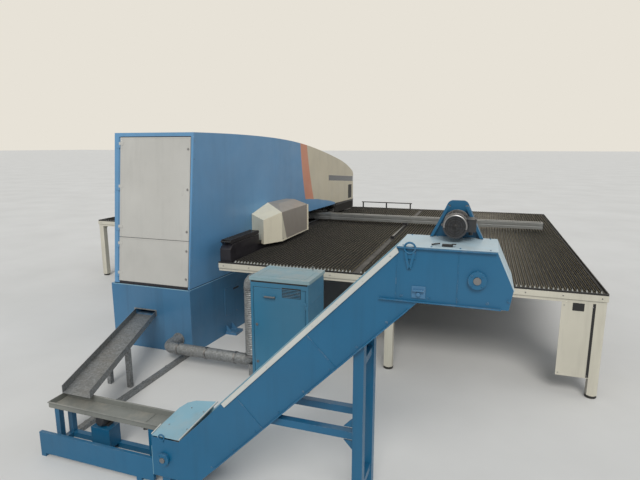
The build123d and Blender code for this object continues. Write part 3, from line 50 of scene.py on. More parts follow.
# Lamps: direction towards the lamp, strength, spread in degrees, colour
KEY_LIGHT = ((-0.19, 0.70, 0.69), 1.8, 28, (1.0, 0.985, 0.95))
FILL_LIGHT = ((-0.85, -0.10, 0.5), 0.18, 50, (0.94, 0.97, 1.0))
SKY = ((0.90, 0.95, 1.0, 1.0), 0.58)
BACKDROP = ((0.80, 0.76, 0.68, 1.0), 1.0)
FLOOR_DARK = (0.60, 0.59, 0.57)
FLOOR_LIGHT = (0.66, 0.65, 0.63)
FLOOR_REACH = 220.0

# Colours (linear)
HOOD_BLUE = (0.098, 0.262, 0.460)
# Blue paint of the base, darkened as painted shade where its surroundings shadow it
BASE_BLUE_IN_SHADE = (0.036, 0.150, 0.285)
CONVEYOR_BLUE = (0.002, 0.104, 0.218)
CABINET_BLUE = (0.020, 0.146, 0.255)
# Light blue plate paint, lightened as a painted highlight where the plates face up to the light
LIGHT_BLUE_AND_HIGHLIGHT = (0.210, 0.385, 0.470)
# Blue-grey plate paint, paler still as a painted highlight of the glare on the conveyor cover's top
PALE_BLUE_GLARE = (0.400, 0.520, 0.580)
LID_BLUE = (0.220, 0.335, 0.370)
STRIPE_ORANGE = (0.620, 0.240, 0.135)
NOSE_BEIGE = (0.580, 0.510, 0.370)
DOOR_GREY = (0.480, 0.470, 0.440)
COVER_CREAM = (0.720, 0.660, 0.510)
# Painted shade for the shaded side of the motor cover
COVER_SHADE = (0.290, 0.252, 0.215)
TABLE_CREAM = (0.560, 0.530, 0.440)
BEAM_GREY = (0.330, 0.343, 0.348)
RIM_GREY = (0.530, 0.540, 0.510)
TRAY_PALE = (0.190, 0.197, 0.180)
CAST_GREY = (0.120, 0.130, 0.140)
MOTOR_DARK = (0.028, 0.030, 0.034)
STEEL = (0.290, 0.290, 0.295)
TOOL_STEEL = (0.200, 0.200, 0.205)
BELT_STEEL = (0.160, 0.155, 0.150)
GALVANISED = (0.240, 0.250, 0.255)
CHANNEL = (0.350, 0.320, 0.243)
CARRIER_BLACK = (0.009, 0.008, 0.012)
FILTER_PAPER = (0.600, 0.570, 0.480)
BLACK = (0.006, 0.006, 0.007)
GLASS = ((0.010, 0.012, 0.015), (0.055, 0.058, 0.060))
HAIR = ((0.004, 0.004, 0.004), (0.020, 0.018, 0.015))
DUST = (0.420, 0.370, 0.300)
GRIME = (0.030, 0.025, 0.020)

# The fold where the motor cover's cream side meets the painted shade on its top, as a plane in metres
COVER_FOLD_NORMAL = (-0.7228, -0.6357, 0.2709)
COVER_FOLD_OFFSET = -0.7635

# Places on the machine, in millimetres
HOOD_REAR_Y = 4160
HOOD_FOOT_Z = 690
HOOD_HALF_WIDTH = 470
BASE_LEDGE = 25
REAR_LEAN = math.atan(195 / 1597)
FLARE = math.radians(4.75)
POWER_Y = 3870
TANK_FACE_Y = 4001
FAN_Z = 1442
TURRET_Y = -500
BEAM_Y = 775
BEAM_Z = 1031.5
BEAM_TOP = 1078
SHOE_X = 250
OUTER_RAIL_X = 2150
CLAMP_PITCH = 600
TABLE_FRONT_Y = -1208
NEAR_TABLE_REAR_Y = 3878
FAR_TABLE_REAR_Y = 1908
FACING = 2.5
CHANNEL_PITCH = 37
DECK_Z = 931
PIPE_X, PIPE_Y = -1300, 4400
NEAR_WALL_Y = 6000
FAR_WALL_Y = 5670
KNEE_X, KNEE_Z = -1590, 345
SLOPE = math.radians(45.2)
MOTOR_X, MOTOR_Z = -3170, 1762
FEED_Z = 351.2
FEED_RISE = 0.2121
SHAKER_X, SHAKER_Z = -820, 240

# Directions
UP = Vector((0, 0, 1))
DOWN = (0, 0, -1)
AFT = (0, 1, 0)
FORE = (0, -1, 0)
LEFT = (-1, 0, 0)
UPHILL = (-math.cos(SLOPE), 0, math.sin(SLOPE))
SIDES = (-1, 1)


# Material building blocks

class Shader:
    """Adds and links the nodes of one material."""

    def __init__(self, name):
        self.material = bpy.data.materials.new(name)
        self.material.use_nodes = True
        self.tree = self.material.node_tree
        self.bsdf = self.tree.nodes["Principled BSDF"]
        self.place = self.tree.nodes.new("ShaderNodeTexCoord").outputs["Object"]

    def add(self, kind, **settings):
        node = self.tree.nodes.new(kind)
        for key, value in settings.items():
            setattr(node, key, value)
        return node

    def feed(self, value, socket):
        """Sets a number or a colour on a socket, or links what another node gives."""
        if isinstance(value, tuple):
            socket.default_value = (*value, 1.0)
        elif isinstance(value, float):
            socket.default_value = value
        else:
            self.tree.links.new(value, socket)

    def stretched(self, scale):
        node = self.add("ShaderNodeMapping")
        node.inputs["Scale"].default_value = scale
        self.feed(self.place, node.inputs["Vector"])
        return node.outputs["Vector"]

    def noise(self, scale, detail=3.0, rough=0.55, vector=None):
        node = self.add("ShaderNodeTexNoise")
        for key, value in (("Scale", scale), ("Detail", detail), ("Roughness", rough)):
            node.inputs[key].default_value = value
        self.feed(vector or self.place, node.inputs["Vector"])
        return node.outputs["Fac"]

    def ramp(self, value, low, high, low_out=0.0, high_out=1.0):
        node = self.add("ShaderNodeMapRange", clamp=True)
        for key, number in (("From Min", low), ("From Max", high), ("To Min", low_out), ("To Max", high_out)):
            node.inputs[key].default_value = number
        self.feed(value, node.inputs["Value"])
        return node.outputs["Result"]

    def math(self, operation, a, b):
        node = self.add("ShaderNodeMath", operation=operation)
        self.feed(a, node.inputs[0])
        self.feed(b, node.inputs[1])
        return node.outputs[0]

    def mix(self, factor, a, b):
        node = self.add("ShaderNodeMix", data_type="RGBA")
        for index, value in ((0, factor), (6, a), (7, b)):
            self.feed(value, node.inputs[index])
        return node.outputs[2]

    def normal(self):
        return self.add("ShaderNodeNewGeometry").outputs["Normal"]

    def up_facing(self, low=0.6, high=0.95):
        split = self.add("ShaderNodeSeparateXYZ")
        self.feed(self.normal(), split.inputs[0])
        return self.ramp(split.outputs["Z"], low, high)

    def beyond(self, normal, offset):
        """One on the far side of a plane in the piece's own axes, so that two colours meet in a line."""
        dot = self.add("ShaderNodeVectorMath", operation="DOT_PRODUCT")
        self.feed(self.place, dot.inputs[0])
        dot.inputs[1].default_value = normal
        return self.ramp(dot.outputs["Value"], offset - 0.001, offset + 0.001)

    def edge_mask(self, radius):
        """Bright along sharp edges: the rounded normal leaves the true one there."""
        bevel = self.add("ShaderNodeBevel", samples=4)
        bevel.inputs["Radius"].default_value = radius
        dot = self.add("ShaderNodeVectorMath", operation="DOT_PRODUCT")
        self.feed(bevel.outputs[0], dot.inputs[0])
        self.feed(self.normal(), dot.inputs[1])
        return self.ramp(self.math("SUBTRACT", 1.0, dot.outputs["Value"]), 0.02, 0.14)

    def bump(self, height, strength, distance):
        node = self.add("ShaderNodeBump")
        node.inputs["Strength"].default_value = strength
        node.inputs["Distance"].default_value = distance
        self.feed(height, node.inputs["Height"])
        self.feed(node.outputs[0], self.bsdf.inputs["Normal"])

    def finish(self, colour, roughness, metallic=0.0, coat=0.0):
        for key, value in (("Base Color", colour), ("Roughness", roughness), ("Metallic", metallic),
                           ("Coat Weight", coat)):
            self.feed(value, self.bsdf.inputs[key])
        return self.material


def scaled(colour, factor):
    return tuple(channel * factor for channel in colour)


def paint(name, colour, rough, dust, wear, grime, peel=0.12, chip_under=STEEL, second=None):
    """Sprayed paint: cloudy tone, orange peel, dust on top faces, runs of grime and rubbed edges.

    A second colour may start at a plane, given as (colour, normal, offset).
    """
    s = Shader(name)
    cloud = s.ramp(s.noise(1.3, 4.0), 0.3, 0.7)
    tone = s.mix(cloud, scaled(colour, 0.90), scaled(colour, 1.08))
    # The second colour, where it is used, is painted shade beyond the plane
    if second:
        shade, normal, offset = second
        tone = s.mix(s.beyond(normal, offset), tone, shade)
    runs = s.ramp(s.noise(1.0, 5.0, 0.65, s.stretched((9.0, 9.0, 0.7))), 0.52, 0.80, 0.0, grime)
    tone = s.mix(runs, tone, scaled(colour, 0.45))
    blotch = s.ramp(s.noise(4.5, 6.0, 0.7), 0.45, 0.75)
    dusty = s.math("MULTIPLY", s.math("MULTIPLY", s.up_facing(), blotch), dust)
    haze = s.ramp(s.noise(0.8, 3.0), 0.35, 0.8, 0.0, dust * 0.25)
    tone = s.mix(s.math("ADD", dusty, haze), tone, DUST)
    patchy = s.ramp(s.noise(14.0, 5.0, 0.7), 0.50, 0.62)
    rubbed = s.math("MULTIPLY", s.math("MULTIPLY", s.edge_mask(0.004), patchy), wear)
    tone = s.mix(rubbed, tone, chip_under)
    smudge = s.ramp(s.noise(6.0, 4.0, 0.6), 0.3, 0.75, rough - 0.07, rough + 0.14)
    s.bump(s.noise(420.0, 2.0), peel, 0.0006)
    return s.finish(tone, smudge, 0.0, 0.12)


def metal(name, colour, rough, grain, stain=0.35, speck=0.0):
    """Machined or drawn metal: fine directional grain, blotchy tarnish and fingerprints."""
    s = Shader(name)
    lines = s.noise(30.0, 3.0, 0.6, s.stretched(grain))
    tone = s.mix(s.ramp(lines, 0.3, 0.7), scaled(colour, 0.82), scaled(colour, 1.12))
    tarnish = s.ramp(s.noise(5.0, 6.0, 0.65), 0.48, 0.78, 0.0, stain)
    tone = s.mix(tarnish, tone, scaled(colour, 0.42))
    if speck:
        spots = s.ramp(s.noise(60.0, 4.0, 0.7), 0.62, 0.72, 0.0, speck)
        tone = s.mix(spots, tone, scaled(DUST, 0.8))
    shine = s.ramp(s.noise(9.0, 5.0, 0.6), 0.3, 0.8, rough - 0.08, rough + 0.22)
    s.bump(lines, 0.18, 0.0004)
    return s.finish(tone, shine, 1.0)


def galvanised(name):
    """Zinc coat with its crystal spangle."""
    s = Shader(name)
    cells = s.add("ShaderNodeTexVoronoi")
    cells.inputs["Scale"].default_value = 70.0
    s.feed(s.place, cells.inputs["Vector"])
    bright = s.add("ShaderNodeSeparateColor")
    s.feed(cells.outputs["Color"], bright.inputs[0])
    tone = s.mix(bright.outputs[0], scaled(GALVANISED, 0.72), scaled(GALVANISED, 1.15))
    dirt = s.ramp(s.noise(4.0, 6.0, 0.7), 0.5, 0.8, 0.0, 0.5)
    tone = s.mix(dirt, tone, scaled(DUST, 0.5))
    return s.finish(tone, s.ramp(bright.outputs[1], 0.0, 1.0, 0.45, 0.65), 0.55)


def cast(name, colour, rough=0.6, grain=90.0):
    """Painted or bare casting with a sandy skin."""
    s = Shader(name)
    tone = s.mix(s.ramp(s.noise(3.0, 5.0, 0.6), 0.3, 0.7), scaled(colour, 0.75), scaled(colour, 1.2))
    oil = s.ramp(s.noise(2.0, 5.0, 0.7, s.stretched((3.0, 3.0, 0.8))), 0.55, 0.8, 0.0, 0.6)
    tone = s.mix(oil, tone, GRIME)
    dusty = s.math("MULTIPLY", s.up_facing(), s.ramp(s.noise(8.0, 5.0), 0.4, 0.7, 0.0, 0.45))
    tone = s.mix(dusty, tone, DUST)
    s.bump(s.noise(grain, 5.0, 0.7), 0.5, 0.0012)
    return s.finish(tone, s.ramp(oil, 0.0, 0.6, rough, rough - 0.25))


def plastic(name, colour, rough, grain, dust):
    """Moulded plastic, rubber or paper with a fine grain and settled dust."""
    s = Shader(name)
    tone = s.mix(s.ramp(s.noise(3.0, 5.0), 0.3, 0.7), scaled(colour, 0.8), scaled(colour, 1.3))
    settled = s.ramp(s.noise(7.0, 6.0, 0.7), 0.42, 0.72, 0.0, dust)
    tone = s.mix(s.math("MULTIPLY", s.up_facing(0.3, 0.9), settled), tone, scaled(DUST, 0.6))
    s.bump(s.noise(grain, 3.0), 0.25, 0.0006)
    return s.finish(tone, s.ramp(s.noise(11.0, 4.0), 0.3, 0.7, rough - 0.08, rough + 0.12))


def gloss_dark(name):
    """Dark glazing under a thin film of dirt."""
    s = Shader(name)
    film = s.ramp(s.noise(3.0, 5.0, 0.6), 0.4, 0.8, 0.0, 0.3)
    return s.finish(s.mix(film, *GLASS), s.ramp(s.noise(20.0, 4.0), 0.3, 0.8, 0.06, 0.2), 0.0, 0.6)


def bristle(name):
    """Dense upright hair: streaks that run up and down."""
    s = Shader(name)
    hair = s.noise(1.0, 4.0, 0.7, s.stretched((900.0, 900.0, 30.0)))
    swarf = s.ramp(s.noise(40.0, 5.0, 0.75), 0.66, 0.72, 0.0, 0.3)
    tone = s.mix(swarf, s.mix(s.ramp(hair, 0.35, 0.7), *HAIR), scaled(DUST, 0.7))
    s.bump(hair, 0.9, 0.003)
    return s.finish(tone, 0.85)


# Paints: colour, roughness, dust, rubbed edges, grime, orange peel and the metal under a chip
PAINTS = {
    "hood_blue": (HOOD_BLUE, 0.40, 0.30, 0.35, 0.16),
    "base_blue": (BASE_BLUE_IN_SHADE, 0.45, 0.45, 0.6, 0.45),
    "stripe_orange": (STRIPE_ORANGE, 0.40, 0.25, 0.3, 0.15),
    "nose_beige": (NOSE_BEIGE, 0.40, 0.25, 0.3, 0.2),
    "door_grey": (DOOR_GREY, 0.50, 0.20, 0.35, 0.16, 0.35),
    "cover_cream": (COVER_CREAM, 0.42, 0.25, 0.4, 0.22),
    "black_steel": (BLACK, 0.55, 0.10, 0.4, 0.1, 0.2, TOOL_STEEL),
    "table_cream": (TABLE_CREAM, 0.5, 0.4, 0.6, 0.4, 0.2),
    "cabinet_blue": (CABINET_BLUE, 0.42, 0.35, 0.55, 0.3),
    "lid_blue": (LID_BLUE, 0.45, 0.5, 0.5, 0.2),
    "conveyor_blue": (CONVEYOR_BLUE, 0.42, 0.15, 0.7, 0.35),
    "rim_grey": (RIM_GREY, 0.5, 0.4, 0.6, 0.3, 0.2),
    "plate_light_blue": (LIGHT_BLUE_AND_HIGHLIGHT, 0.45, 0.35, 0.6, 0.25),
    "tray_pale": (TRAY_PALE, 0.5, 0.5, 0.7, 0.4),
}
# Metals: colour, roughness, direction of the grain, tarnish and specks of dust
METALS = {
    "turned_steel": (STEEL, 0.28, (40.0, 40.0, 1.0)),
    "tool_steel": (TOOL_STEEL, 0.33, (1.0, 30.0, 30.0)),
    "beam_grey": (BEAM_GREY, 0.42, (1.0, 60.0, 60.0), 0.2, 0.1),
    "channel_aluminium": (CHANNEL, 0.42, (60.0, 1.0, 60.0), 0.25, 0.2),
    "belt_steel": (BELT_STEEL, 0.45, (1.0, 20.0, 20.0), 0.5, 0.5),
}
MATERIALS = {
    **{name: paint(name, *values) for name, values in PAINTS.items()},
    **{name: metal(name, *values) for name, values in METALS.items()},
    "frame_grey": cast("frame_grey", CAST_GREY),
    "motor_dark": cast("motor_dark", MOTOR_DARK, 0.5, 140.0),
    "dark_window": gloss_dark("dark_window"),
    "brush_black": bristle("brush_black"),
    "carrier_black": plastic("carrier_black", CARRIER_BLACK, 0.42, 260.0, 0.12),
    "filter_paper": plastic("filter_paper", FILTER_PAPER, 0.8, 120.0, 0.2),
    "galvanised": galvanised("galvanised"),
}
# Nodes whose surface differs from the rest of their slot
SPECIAL = {
    # The motor cover, with painted shade on its side beyond a plane
    "motor_cover": paint("cover_painted_shade", *PAINTS["cover_cream"],
                         second=(COVER_SHADE, COVER_FOLD_NORMAL, COVER_FOLD_OFFSET)),
    # The conveyor cover made paler, as a painted highlight of the glare on its top
    "conveyor_cover": paint("pale_plate_painted_glare", PALE_BLUE_GLARE, *PAINTS["plate_light_blue"][1:]),
    "shaft_bearings": MATERIALS["conveyor_blue"],
}
# Nodes that keep their sharp edges
SHARP = {"brush_rows", "channel_strips", "conveyor_belt", "rear_hood", "nose_hood", "stripe_band",
         "nose_window", "nose_louvre"}


def break_edges(obj, width):
    """Bevel on the edges that turn by more than 40 degrees."""
    bevel = obj.modifiers.new("edge", "BEVEL")
    bevel.width = width
    bevel.segments = 2
    bevel.limit_method = "ANGLE"
    bevel.angle_limit = math.radians(40)
    return bevel


def dress_cad():
    """Gives every CAD node its slot's material and softly broken edges."""
    slots = {row["node"]: row["material_slot"] for row in frame["record"]["subparts"]}
    for name, obj in NODES.items():
        obj.data.materials.clear()
        obj.data.materials.append(SPECIAL.get(name, MATERIALS[slots[name]]))
        if name not in SHARP:
            obj.modifiers.new("weld", "WELD").merge_threshold = 0.00005
            break_edges(obj, 0.0016).harden_normals = True


dress_cad()


# Mesh building blocks, in millimetres

def frame_at(origin, along, out):
    """Local axes on a face: x runs along it, z stands out of it."""
    x = Vector(along).normalized()
    z = Vector(out).normalized()
    matrix = Matrix((x, z.cross(x), z)).transposed().to_4x4()
    matrix.translation = Vector(origin)
    return matrix


def half_width(y, grow=0.0):
    return HOOD_HALF_WIDTH + grow + (HOOD_REAR_Y - y) * math.tan(FLARE)


def side_frame(side, y, z, grow=0.0):
    """On the hood's or the base's side face, local y up."""
    out = Vector((side, math.tan(FLARE), 0))
    return frame_at((side * half_width(y, grow), y, z), UP.cross(out), out)


def rear_frame():
    """On the leaning rear face, local x towards -X and local y up the lean."""
    return frame_at((0, HOOD_REAR_Y, HOOD_FOOT_Z), LEFT, (0, math.cos(REAR_LEAN), math.sin(REAR_LEAN)))


def rear_y(z):
    """Where the leaning rear face is at a height."""
    return HOOD_REAR_Y - (z - HOOD_FOOT_Z) * math.tan(REAR_LEAN)


def slope_frame(y, side):
    """On a conveyor wall, local x up the incline from the low knee."""
    return frame_at((KNEE_X, y, KNEE_Z), UPHILL, (0, side, 0))


def feed_z(y):
    """Height of the conveyor's feed plate, which rises away from the near wall."""
    return FEED_Z + (NEAR_WALL_Y - y) * FEED_RISE


def spaced(start, end, pitch):
    """Evenly spaced places from start to end, about one pitch apart."""
    count = max(1, round(abs(end - start) / pitch))
    return [start + (end - start) * i / count for i in range(count + 1)]


def circle(count, radius=1.0, start=0.0):
    """Evenly spaced points on a circle, the first at start degrees."""
    angles = [math.radians(start) + 2 * math.pi * i / count for i in range(count)]
    return [(radius * math.cos(a), radius * math.sin(a)) for a in angles]


def rounded(x0, x1, y0, y1, r):
    """Rectangle with round corners."""
    points = []
    for cx, cy, start in ((x1 - r, y0 + r, -90), (x1 - r, y1 - r, 0), (x0 + r, y1 - r, 90),
                          (x0 + r, y0 + r, 180)):
        for turn in spaced(start, start + 90, 22.5):
            a = math.radians(turn)
            points.append((cx + r * math.cos(a), cy + r * math.sin(a)))
    return points


def inward(value, middle, step):
    """A coordinate moved one step towards the middle, and not past it."""
    away = value - middle
    return value - math.copysign(min(step, abs(away)), away)


def square_to(axis):
    """The unit axis and two directions square to it."""
    z = Vector(axis).normalized()
    x = z.orthogonal().normalized()
    return z, x, z.cross(x)


class Shape:
    """Gathers closed solids into the mesh of one piece."""

    def __init__(self, place=None):
        self.mesh = bmesh.new()
        self.place = place or Matrix()

    def skin(self, rings, close=False):
        rows = [[self.mesh.verts.new(self.place @ Vector(p)) for p in ring] for ring in rings]
        count = len(rows[0])
        pairs = list(zip(rows, rows[1:]))
        if close:
            pairs.append((rows[-1], rows[0]))
        else:
            self.mesh.faces.new(rows[0][::-1])
            self.mesh.faces.new(rows[-1])
        for low, high in pairs:
            for i in range(count):
                j = (i + 1) % count
                self.mesh.faces.new((low[i], low[j], high[j], high[i]))

    def box(self, x0, x1, y0, y1, z0, z1):
        corners = ((x0, y0), (x1, y0), (x1, y1), (x0, y1))
        self.skin([[(x, y, z) for x, y in corners] for z in (z0, z1)])

    def border(self, x0, x1, y0, y1, width, z0, z1):
        """Flat rectangular frame of four bars."""
        inner_y0, inner_y1 = y0 + width, y1 - width
        for row in ((x0, x1, y0, inner_y0), (x0, x1, inner_y1, y1), (x0, x0 + width, inner_y0, inner_y1),
                    (x1 - width, x1, inner_y0, inner_y1)):
            self.box(*row, z0, z1)

    def prism(self, outline, run):
        self.skin([outline, [Vector(p) + Vector(run) for p in outline]])

    def plate(self, outline, z0, z1, lip=0.0):
        """Flat plate with a small chamfer round its upper edge."""
        rings = [[(x, y, z) for x, y in outline] for z in (z0, z1 - lip)]
        if lip:
            mid_x, mid_y = (sum(values) / len(outline) for values in zip(*outline))
            rings.append([(inward(x, mid_x, lip), inward(y, mid_y, lip), z1) for x, y in outline])
        self.skin(rings)

    def lathe(self, centre, axis, profile, sides=20, close=False):
        """Turned solid; the profile gives height along the axis and radius."""
        z, x, y = square_to(axis)
        self.skin([[Vector(centre) + z * height + x * u + y * v for u, v in circle(sides, radius)]
                   for height, radius in profile], close)

    def ring(self, centre, axis, inner, outer, z0, z1, sides=24):
        self.lathe(centre, axis, [(z0, inner), (z0, outer), (z1, outer), (z1, inner)], sides, True)

    def bolt(self, centre, axis, r, washer=True):
        """Hexagon head on its washer."""
        base = 0.0
        if washer:
            base = r * 0.3
            self.lathe(centre, axis, [(0, r * 1.75), (base, r * 1.75)], 14)
        self.lathe(centre, axis, [(base, r * 1.1), (base + r * 0.75, r * 1.1), (base + r * 0.9, r * 0.9)], 6)

    def screw(self, centre, axis, r):
        """Round head with a sunk socket."""
        self.lathe(centre, axis, [(0, r), (r * 0.5, r * 0.95), (r * 0.7, r * 0.7), (r * 0.7, r * 0.4),
                                  (r * 0.3, r * 0.35)], 12)

    def tube(self, points, r, sides=8, close=False):
        """Round bar along a line of points."""
        points = [Vector(p) for p in points]
        count = len(points)
        rings = []
        x = None
        for i, point in enumerate(points):
            after = points[(i + 1) % count] if close or i < count - 1 else point
            before = points[i - 1] if close or i > 0 else point
            run = (after - before).normalized()
            x = run.orthogonal() if x is None else x - run * x.dot(run)
            x.normalize()
            y = run.cross(x)
            rings.append([point + x * u + y * v for u, v in circle(sides, r)])
        self.skin(rings, close)

    def loop(self, centre, axis, radius, r, turns, sides=8):
        """Round bar bent into a ring."""
        _, x, y = square_to(axis)
        self.tube([Vector(centre) + x * u + y * v for u, v in circle(turns, radius)], r, sides, True)


def add_object(name, data):
    obj = bpy.data.objects.new(name, data)
    bpy.context.scene.collection.objects.link(obj)
    return obj


def add_piece(name, mesh, slot, body):
    """A finished mesh as a piece, with the material of its slot and its body."""
    mesh.materials.append(MATERIALS[slot])
    piece = add_object(name, mesh)
    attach(piece, body)
    return piece


def put(shape, name, slot, edge=0.0, body="machine"):
    """Turns a shape into a piece in metres, its edges broken by a bevel of edge millimetres."""
    bmesh.ops.recalc_face_normals(shape.mesh, faces=shape.mesh.faces)
    bmesh.ops.scale(shape.mesh, vec=(0.001, 0.001, 0.001), verts=shape.mesh.verts)
    mesh = bpy.data.meshes.new(name)
    shape.mesh.to_mesh(mesh)
    shape.mesh.free()
    mesh.shade_smooth()
    mesh.set_sharp_from_angle(angle=math.radians(35))
    piece = add_piece(name, mesh, slot, body)
    if edge:
        break_edges(piece, edge * 0.001)


# Machine body

def rear_door_details():
    for body, low, high, locks in (("lower_rear_door", 28, 498, (110, 400)),
                                   ("upper_rear_door", 504, 1556, (600, 1030, 1440))):
        locks_shape = Shape(rear_frame())
        cups = Shape(rear_frame())
        for up in locks:
            locks_shape.lathe((430, up, 0), UP, [(0, 13), (2.5, 13), (3.5, 11), (3.5, 5), (1.2, 4.5)], 20)
            cups.ring((430, up, 0), UP, 13.2, 17, 0, 1.2, 24)
        put(locks_shape, f"{body}_locks", "turned_steel", body=body)
        middle = (low + high) / 2
        cups.plate(rounded(352, 378, middle - 60, middle + 60, 12), 0, 2.0, 1.0)
        put(cups, f"{body}_pull", "door_grey", 0.4, body)
        seal = Shape(rear_frame())
        seal.border(-408, 446, low + 3, high - 3, 8, -22, -18.2)
        put(seal, f"{body}_seal", "carrier_black", body=body)
        edge = Shape(rear_frame())
        edge.border(-400, 452, low + 2, high - 2, 9, 0, 1.4)
        put(edge, f"{body}_fold", "door_grey", 0.5, body)


def hood_details():
    # Black strips below and above the rear doors: painted shadow in the gaps there
    shadow_strips = Shape(rear_frame())
    shadow_strips.box(-405, 456, 1, 26, 0.2, 1.2)
    shadow_strips.box(-405, 456, 1563.5, 1570, 0.2, 1.2)
    put(shadow_strips, "rear_door_shadow_gaps", "carrier_black")
    trim = Shape()
    for side in SIDES:
        rings = []
        for up in (4, 400, 800, 1200, 1596):
            y = rear_y(HOOD_FOOT_Z + up)
            z = HOOD_FOOT_Z + up
            x = half_width(y)
            rings.append([(side * (x + 0.2), y - 1, z), (side * (x + 2.4), y - 3, z),
                          (side * (x + 5.0), y - 30, z), (side * (x + 2.7), y - 32, z)])
        trim.skin(rings)
    put(trim, "hood_corner_folds", "hood_blue", 0.6)
    gap = Shape()
    for side in SIDES:
        section = ((0.3, 689), (3.5, 689), (3.5, 695), (0.3, 695))
        gap.skin([[(side * (half_width(y) + d), y, z) for d, z in section] for y in (4150, 2400, 600, -700)])
    gap.box(-468, 468, 4160, 4164, 690.2, 696)
    put(gap, "hood_foot_seal", "carrier_black")
    screws = Shape()
    for side in SIDES:
        for z in spaced(760, 2200, 180):
            y = rear_y(z) - 17
            x = half_width(y) + 3.6
            screws.screw((side * x, y, z), (side, 0.08, 0), 4.2)
    put(screws, "hood_screws", "turned_steel")


def nose_details():
    blades = Shape()
    for i in range(11):
        x = (i - 5) * 62
        for k in range(9):
            z = 1184 + k * 19
            blades.prism([(x - 16.5, -1186.2, z), (x - 16.5, -1188.6, z + 1.5), (x - 16.5, -1186.6, z + 11),
                          (x - 16.5, -1185.4, z + 11)], (33, 0, 0))
    put(blades, "nose_louvre_blades", "nose_beige")
    place = Vector((-500, -500, 1824))
    port = Shape()
    port.ring(place, UP, 55.5, 64.5, -3, 2.5, 36)
    for i in range(6):
        a = math.radians(60 * i + 30)
        port.screw(place + Vector((60 * math.cos(a), 60 * math.sin(a), 2.5)), UP, 3.2)
    put(port, "loading_port_rim", "turned_steel", 0.5)
    slats = Shape()
    cheeks = Shape()
    outline = ((1340, 1151), (130, 1151), (130, 1180), (360, 1232), (620, 1268), (910, 1313), (1180, 1339),
               (1340, 1354))
    for side in SIDES:
        slats.place = side_frame(side, -620, 1195)
        slats.box(-90, 90, -6, 246, 0.3, 1.0)
        for k in range(12):
            slats.box(-85, 85, k * 20, k * 20 + 9, 1.0, 5.0)
        cheeks.prism([(side * (half_width(y) + 0.3), y, z) for y, z in outline], (side * 2.2, 0, 0))
    put(slats, "nose_side_slats", "black_steel", 0.5)
    put(cheeks, "throat_cheeks", "hood_blue", 0.6)


def skirt_details():
    """Brush skirt under the nose and the plates that fill the table's corners round the lower turret."""
    half = [(796, 90), (858, -780), (828, -995), (688, -1170)]
    path = half + [(-x, y) for x, y in reversed(half)]
    holder = Shape()
    rings = []
    for i, (x, y) in enumerate(path):
        before, after = path[max(i - 1, 0)], path[min(i + 1, len(path) - 1)]
        run = Vector((after[0] - before[0], after[1] - before[1], 0)).normalized()
        out = Vector((-run.y, run.x, 0)) * 6
        rings.append([(x - out.x, y - out.y, 1118), (x + out.x, y + out.y, 1118),
                      (x + out.x, y + out.y, 1150), (x - out.x, y - out.y, 1150)])
    holder.skin(rings)
    put(holder, "nose_skirt_holder", "black_steel", 0.6)
    hair = Shape()
    for (xa, ya), (xb, yb) in zip(path, path[1:]):
        run = Vector((xb - xa, yb - ya, 0))
        steps = max(1, round(run.length / 12))
        along = run.normalized() * 5.6
        out = Vector((-along.y, along.x, 0)) * 0.7
        for i in range(steps):
            middle = Vector((xa, ya, 0)) + run * ((i + 0.5) / steps)
            low = Vector((0, 0, 988 + 4 * math.sin(i * 1.7)))
            high = Vector((0, 0, 1119))
            corners = [middle - along - out, middle + along - out, middle + along + out, middle - along + out]
            hair.skin([[c + low for c in corners], [middle + (c - middle) * 0.85 + high for c in corners]])
    put(hair, "nose_skirt_bristles", "brush_black")
    surround = Shape()
    for side in SIDES:
        outline = [(side * 659, -1200, 905), (side * 300, -1200, 905)]
        for i in range(25):
            a = math.radians(-60.8 + 121.6 * i / 24)
            outline.append((side * 613 * math.cos(a), TURRET_Y + 613 * math.sin(a), 905))
        outline += [(side * 300, 150, 905), (side * 659, 150, 905)]
        surround.prism(outline, (0, 0, 25))
    put(surround, "turret_surround", "black_steel", 0.8)


def base_details():
    covers = Shape()
    screws = Shape()
    vents = Shape()
    for side in SIDES:
        for y in (3350, 1500, 250):
            covers.place = screws.place = vents.place = side_frame(side, y, 380, BASE_LEDGE)
            covers.plate(rounded(-230, 230, -170, 170, 26), 0.2, 3.6, 1.2)
            for x in (-212, 0, 212):
                for up in (-152, 152):
                    screws.screw((x, up, 3.6), UP, 5)
            vents.plate(rounded(-60, 60, 112, 134, 10), 3.6, 5.0, 0.6)
    put(covers, "base_cover_plates", "base_blue", 0.5)
    put(screws, "base_cover_screws", "turned_steel")
    put(vents, "base_cover_pulls", "black_steel", 0.3)
    # A light blue bar along the base ledge: a painted highlight line on the ledge's edge
    highlight_bar = Shape()
    for side in SIDES:
        highlight_bar.tube([(side * (half_width(y, BASE_LEDGE) - 6), y, 688)
                   for y in (4178, 3000, 1500, 0, -640)], 3.6, 8)
    highlight_bar.tube([(-474, 4182, 688), (474, 4182, 688)], 3.6, 8)
    put(highlight_bar, "base_ledge_highlight", "plate_light_blue")
    weld = Shape()
    for side in SIDES:
        for y in (3500, -300):
            x = half_width(y, BASE_LEDGE)
            weld.tube([(side * (x + 1), y - 78, 31), (side * (x + 1), y + 78, 31)], 4.5, 8)
            for s in SIDES:
                weld.prism([(side * (x - 3), y + s * 60, 29), (side * (x + 70), y + s * 60, 29),
                            (side * (x - 3), y + s * 60, 110)], (0, 10, 0))
    put(weld, "anchor_gussets", "base_blue", 0.8)
    surround = Shape(frame_at((70, 4185, 402), (-1, 0, 0), AFT))
    for a, b, c, d in ((-142, -127, -28, 40), (127, 142, -28, 40), (-127, 127, 28, 40)):
        surround.box(a, b, c, d, 0.2, 5)
    put(surround, "chute_slot_frame", "galvanised", 0.6)


